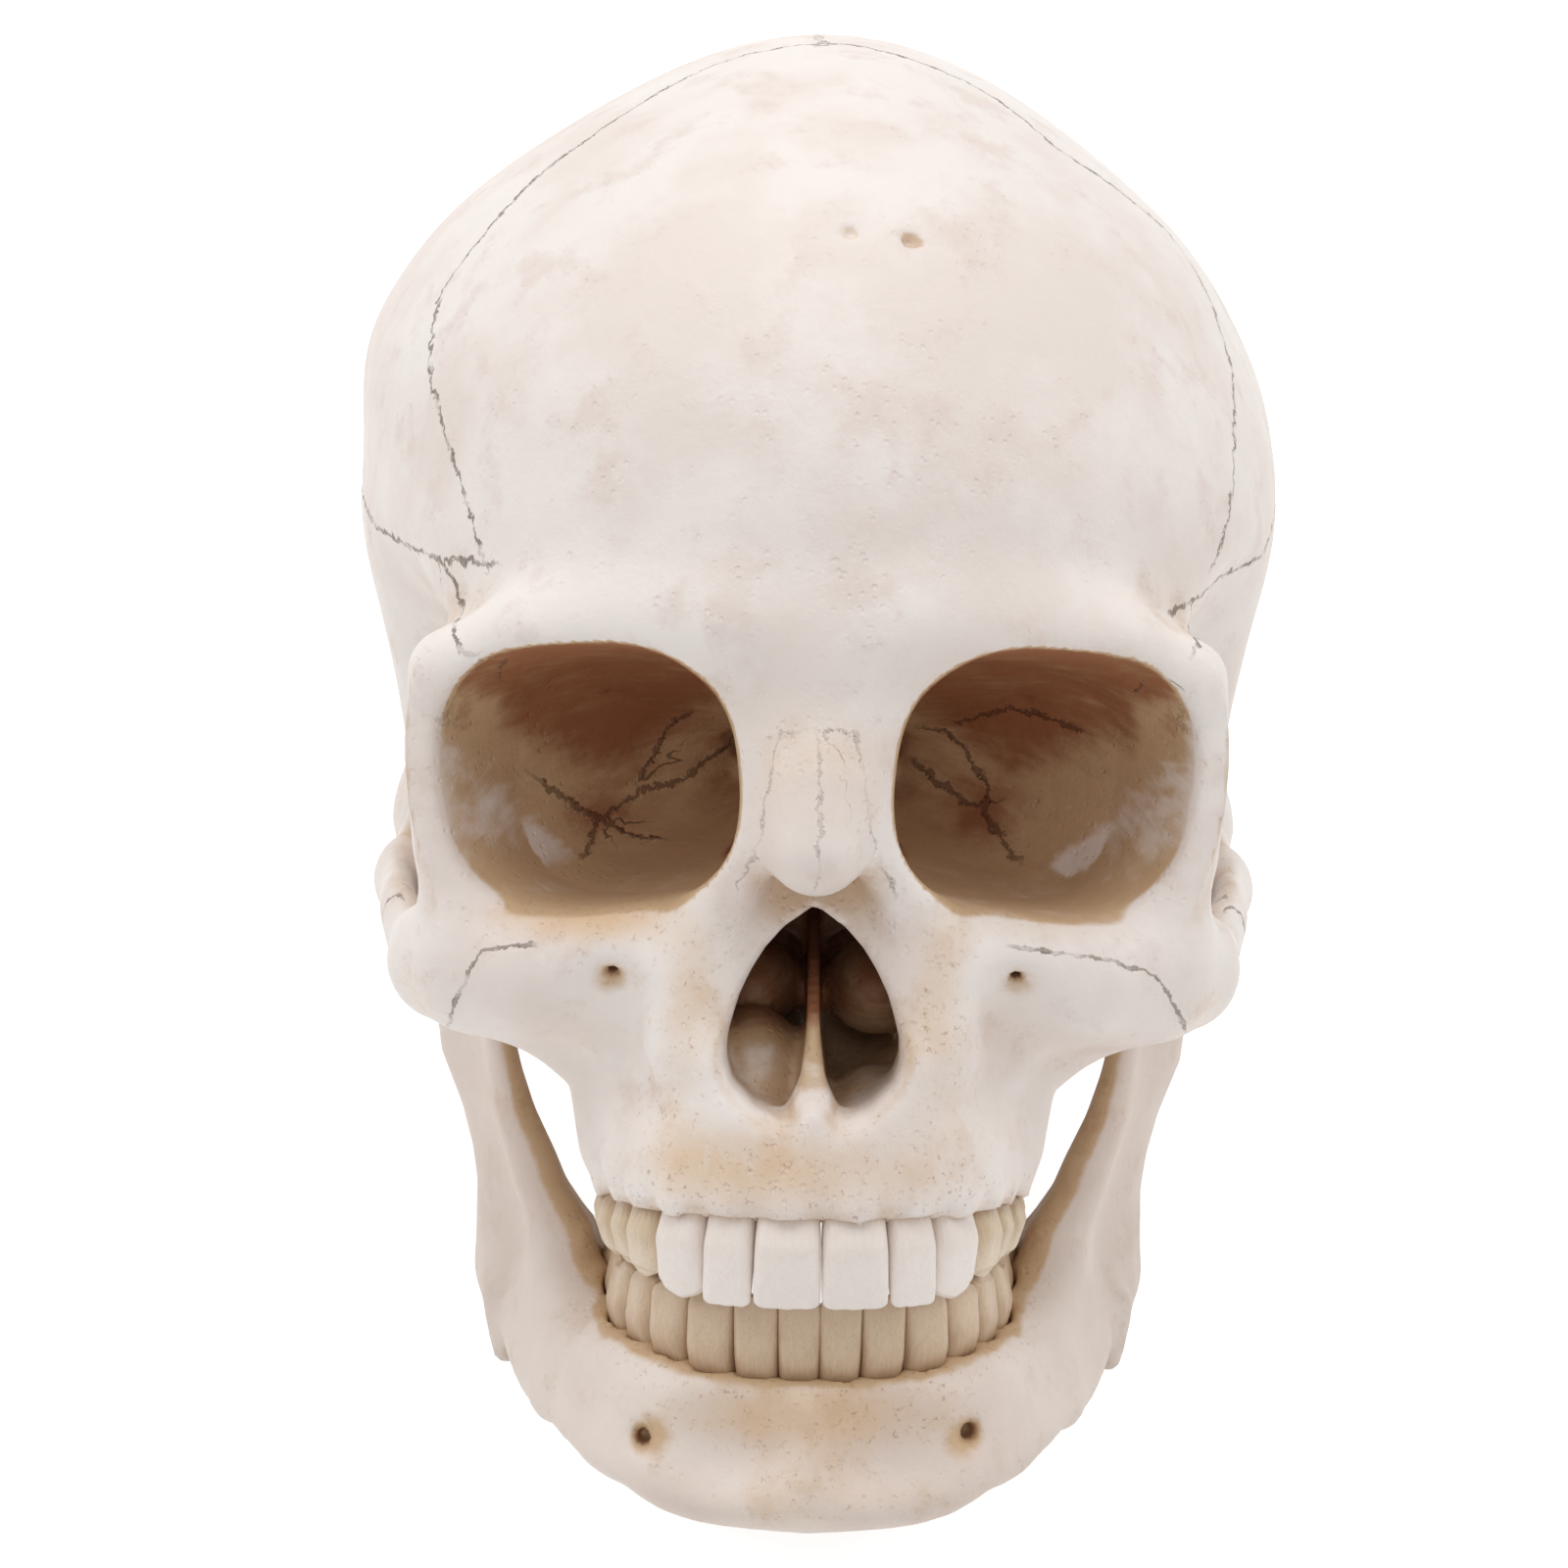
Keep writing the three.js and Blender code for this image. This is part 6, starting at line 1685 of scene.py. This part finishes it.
@dataclass(frozen=True)
class Mandible(Bone):
    """The lower jaw."""

    form: JawForm = JAW
    row: Jaw = Jaw.LOWER
    casting: Casting = Casting(facets=110_000)
    patches: tuple[Patch, ...] = (
        ((0, -92, -72), (26, 14, 6), 0.7),
        ((0, -92, -84), (12, 8, 5), 0.5),
        *both_sides((44, -30, -30), (6, 16, 26), 0.35),
    )

    def stain_and_shade(self, points: Array, normals: Array, gum: Array) -> Array:
        """Painted shade on the branches' inner sides, and stain of the nerve holes and the gum."""
        x, y, z = points.T
        inner = smooth((self.form.branch_middle(y, z)[0] - np.abs(x)) / 2 + 0.3)
        # Painted shade: the inner sides of the branches are painted darker.
        branch = 0.4 * inner * smooth((z + 70) / 12) * smooth((y + 66) / 12)
        nerve = 0.4 * blob(folded(points), (21.6, -88, -75.8), (2.6, 6, 2.8))
        return np.maximum(np.maximum(branch, nerve), 0.36 * smooth((gum - 0.72) / 0.28))

    def build(self, finish: Material) -> None:
        """Builds the lower jaw."""
        self.cast("mandible", "jaw", {}, finish)


@dataclass(frozen=True)
class Dentition:
    """Both rows of teeth."""

    rows: ToothRows = ROWS

    def build(self, front: Material, side: Material, lower: Material) -> None:
        """Builds and dresses every tooth."""
        for jaw in Jaw:
            for place in self.rows.places(jaw):
                forward = place.kind.crown in (Crown.EDGE, Crown.POINT)
                upper = jaw is Jaw.UPPER
                finish = (front if forward else side) if upper else lower
                dress(ToothForm(place).build(), "head" if upper else "jaw", finish, [place.node])


@dataclass(frozen=True)
class JawSprings:
    """Two wire springs that hold the jaw shut, each hooked on a pin in the bone above and below."""

    diameter: float = 5
    wire: float = 1.1
    turns: int = 12
    spread: float = 54.2
    upper: tuple[float, float] = (-38, 21)
    lower: tuple[float, float] = (-36.5, -17)
    neck_radius: float = 1.5
    head_radius: float = 2.4
    head_thickness: float = 1.4
    head_rounding: float = 0.35
    lip: float = 0.3
    depth: float = 4
    hidden: float = 9
    clearance: float = 0.3
    slack: float = 0.15
    hook_degrees: tuple[float, float] = (300, 18)
    steps_per_turn: int = 36

    def path(self, side: int) -> Array:
        """Middle line of the wire in skull axes: a hook, a straight, the coil, a straight and a hook."""
        start = np.array((side * self.spread, *self.lower))
        end = np.array((side * self.spread, *self.upper))
        seat = self.neck_radius + self.clearance
        length = float(np.linalg.norm(end - start)) - 2 * seat
        axis = (end - start) / np.linalg.norm(end - start)
        across = np.array((1.0, 0, 0))
        forward = np.cross(axis, across)
        straight = 1.6 * self.wire
        run = np.linspace(0, length, self.turns * self.steps_per_turn)
        turn = np.clip((run - straight) / (length - 2 * straight), 0, 1) * self.turns
        radius = (self.diameter - self.wire) / 2 * smooth(turn * 2) * smooth((self.turns - turn) * 2)
        angle = turn * 2 * math.pi
        sideways, onward = radius * np.cos(angle), radius * np.sin(angle)
        coil = start + np.outer(seat + run, axis) + np.outer(sideways, across) + np.outer(onward, forward)
        loop = self.neck_radius + self.wire / 2 + self.slack
        first, last = self.hook_degrees
        bend = np.linspace(math.radians(first), math.radians(last), 22)[:, None]
        low = start + loop * (np.cos(bend) * axis + np.sin(bend) * forward)
        high = end + loop * (-np.cos(bend[::-1]) * axis + np.sin(bend[::-1]) * forward)
        return np.concatenate([low, coil[2:-2], high])

    def spring(self, side: int, finish: Material) -> None:
        """Builds one spring as round wire along its path."""
        hand = "left" if side > 0 else "right"
        points = REST.points(self.path(side))
        curve = bpy.data.curves.new(f"spring_{hand}", "CURVE")
        curve.dimensions = "3D"
        curve.bevel_depth = self.wire / 2 * MM
        curve.bevel_resolution = 3
        curve.use_fill_caps = True
        line = curve.splines.new("POLY")
        line.points.add(len(points) - 1)
        rows = np.hstack([points, np.ones((len(points), 1))]).astype(np.float32)
        line.points.foreach_set("co", rows.ravel())
        wire = bpy.data.objects.new(f"spring_{hand}", curve)
        bpy.context.scene.collection.objects.link(wire)
        select(wire)
        bpy.ops.object.convert(target="MESH")
        wire = bpy.context.object
        smooth_faces(wire)
        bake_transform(wire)
        dress(wire, "", finish, [f"jaw_spring_{hand}"])

    def pin(self, side: int, name: str, body: str, place: tuple[float, float], finish: Material) -> None:
        """Builds one pin: a neck in the bone and a round head that keeps the hook on."""
        waist = self.spread + self.wire
        root = waist - self.depth - self.hidden
        bpy.ops.object.select_all(action="DESELECT")
        bpy.ops.mesh.primitive_cylinder_add(vertices=32, radius=self.neck_radius, depth=waist - root)
        pin = bpy.context.object
        pin.name = pin.data.name = f"pin_{name}"
        bpy.ops.object.mode_set(mode="EDIT")
        bpy.ops.mesh.select_all(action="DESELECT")
        mesh = bmesh.from_edit_mesh(pin.data)
        for face in mesh.faces:
            face.select_set(face.normal.z > 0.9)
        bmesh.update_edit_mesh(pin.data)
        swell = self.head_radius / self.neck_radius
        bpy.ops.mesh.extrude_region_move(TRANSFORM_OT_translate={"value": (0, 0, self.lip)})
        bpy.ops.transform.resize(value=(swell, swell, 1))
        rest = self.head_thickness - self.lip
        bpy.ops.mesh.extrude_region_move(TRANSFORM_OT_translate={"value": (0, 0, rest)})
        bpy.ops.mesh.bevel(offset=self.head_rounding, segments=4, affect="EDGES")
        bpy.ops.mesh.select_all(action="SELECT")
        bpy.ops.mesh.normals_make_consistent(inside=False)
        bpy.ops.object.mode_set(mode="OBJECT")
        middle = (waist + root) / 2
        turn = Matrix.Rotation(side * math.pi / 2, 4, "Y")
        pin.data.transform(REST.matrix() @ Matrix.Translation((side * middle, *place)) @ turn)
        bpy.ops.object.shade_smooth_by_angle(angle=math.radians(40))
        dress(pin, body, finish, [name])

    def build(self, finish: Material) -> None:
        """Builds both springs and their four pins."""
        for side, hand in ((1, "left"), (-1, "right")):
            self.spring(side, finish)
            self.pin(side, f"spring_post_cranium_{hand}", "head", self.upper, finish)
            self.pin(side, f"spring_post_jaw_{hand}", "jaw", self.lower, finish)


# Studio


@dataclass(frozen=True)
class Lamp:
    """A soft square light: its name, place and aim in metres, side and power."""

    name: str
    place: Place
    aim: Place
    side: float
    power: float


@dataclass(frozen=True)
class Studio:
    """White floor, soft lamps and the camera."""

    distance: float = 950
    elevation: float = 6.5
    roll: float = 0.8
    target: Place = (-4.56, -40, 10.53)
    lens: float = 149.9
    sensor: float = 36
    far_end: float = 20
    world: float = 0.5
    floor_size: float = 6
    floor_glow: float = 0.7
    floor_shades: tuple[str, str] = ("#F2F2F2", "#F5F5F5")
    grain_mm: float = 4
    lamps: tuple[Lamp, ...] = (
        Lamp("key", (-0.06, 0.24, 1.33), (0, 0, 0.08), 0.8, 6.6),
        Lamp("left", (1.2, 0.2, 0.8), (0, 0, 0.08), 0.7, 2.7),
        Lamp("right", (-1.2, 0.2, 0.8), (0, 0, 0.08), 0.7, 2.9),
        Lamp("front", (-0.05, -1.15, 0.85), (0, -0.05, 0.07), 0.5, 1.1),
    )

    def camera(self) -> None:
        """Sets the camera in front of the face, a little above its level."""
        e = math.radians(self.elevation)
        away = Vector((0, -math.cos(e), math.sin(e)))
        place = Vector(self.target) + away * self.distance
        turn = REST.matrix().to_3x3().normalized()
        data = bpy.data.cameras.new("camera")
        data.sensor_width = self.sensor
        data.lens = self.lens
        data.clip_end = self.far_end
        camera = bpy.data.objects.new("camera", data)
        bpy.context.scene.collection.objects.link(camera)
        camera.location = REST.point(place)
        facing = (-away).to_track_quat("-Z", "Y") @ Quaternion((0, 0, 1), math.radians(self.roll))
        camera.rotation_euler = (turn.to_quaternion() @ facing).to_euler()
        bpy.context.scene.camera = camera

    def floor(self) -> None:
        """Lays the white floor, which keeps the object's shadow."""
        bpy.ops.object.select_all(action="DESELECT")
        bpy.ops.mesh.primitive_plane_add(size=self.floor_size)
        floor = bpy.context.object
        floor.name = floor.data.name = "floor"
        finish = Finish("white_sweep", 0.9)
        art = finish.pattern
        grain = art.noise(art.place(), per_metre(self.grain_mm), 3)
        finish.feed("Base Color", art.tint(grain, *self.floor_shades))
        finish.inputs["Emission Color"].default_value = (1, 1, 1, 1)
        finish.feed("Emission Strength", art.times(art.seen(), self.floor_glow))
        floor.data.materials.append(finish.material)

    def light(self) -> None:
        """Hangs the lamps and lights the world."""
        for lamp in self.lamps:
            data = bpy.data.lights.new(lamp.name, "AREA")
            data.shape = "SQUARE"
            data.size = lamp.side
            data.energy = lamp.power
            light = bpy.data.objects.new(lamp.name, data)
            light.location = lamp.place
            beam = Vector(lamp.aim) - Vector(lamp.place)
            light.rotation_euler = beam.to_track_quat("-Z", "Y").to_euler()
            bpy.context.scene.collection.objects.link(light)
        world = bpy.data.worlds.new("studio")
        world.use_nodes = True
        bpy.context.scene.world = world
        tree = world.node_tree
        sockets = {0: Pattern(tree).seen(), 1: 0.0, 2: 1.0, 3: self.world, 4: 1.0}
        strength = node(tree, "ShaderNodeMapRange", sockets).outputs[0]
        ground = tree.nodes["Background"]
        ground.inputs["Color"].default_value = (1, 1, 1, 1)
        tree.links.new(strength, ground.inputs["Strength"])

    def build(self) -> None:
        """Sets up floor, lamps, world, camera and view."""
        self.camera()
        self.floor()
        self.light()
        bpy.context.scene.view_settings.view_transform = "Standard"


def main() -> None:
    """Builds the scene."""
    logging.basicConfig(level=logging.INFO, format="%(message)s")
    Studio().build()
    bone = CastBone().build()
    Cranium().build(bone)
    # The jaw's copy of the bone finish is darker all over: painted shade for the lower face.
    jaw_bone = CastBone("cast_bone_jaw_painted_shade", "#EADDD3", "#E3D3C8", "#D8C3B2").build()
    Mandible().build(jaw_bone)
    front = Enamel("front_tooth_glaze", "#F6ECE5", "#EFE3DA", "#DDC9B5").build()
    side = Enamel("side_tooth_glaze", "#E4D1B8", "#D3BC9D", "#A88768").build()
    lower = Enamel("lower_tooth_glaze", "#D9C0A4", "#C4A686", "#8F6C4C").build()
    Dentition().build(front, side, lower)
    JawSprings().build(SpringSteel().build())


if __name__ == "__main__":
    main()
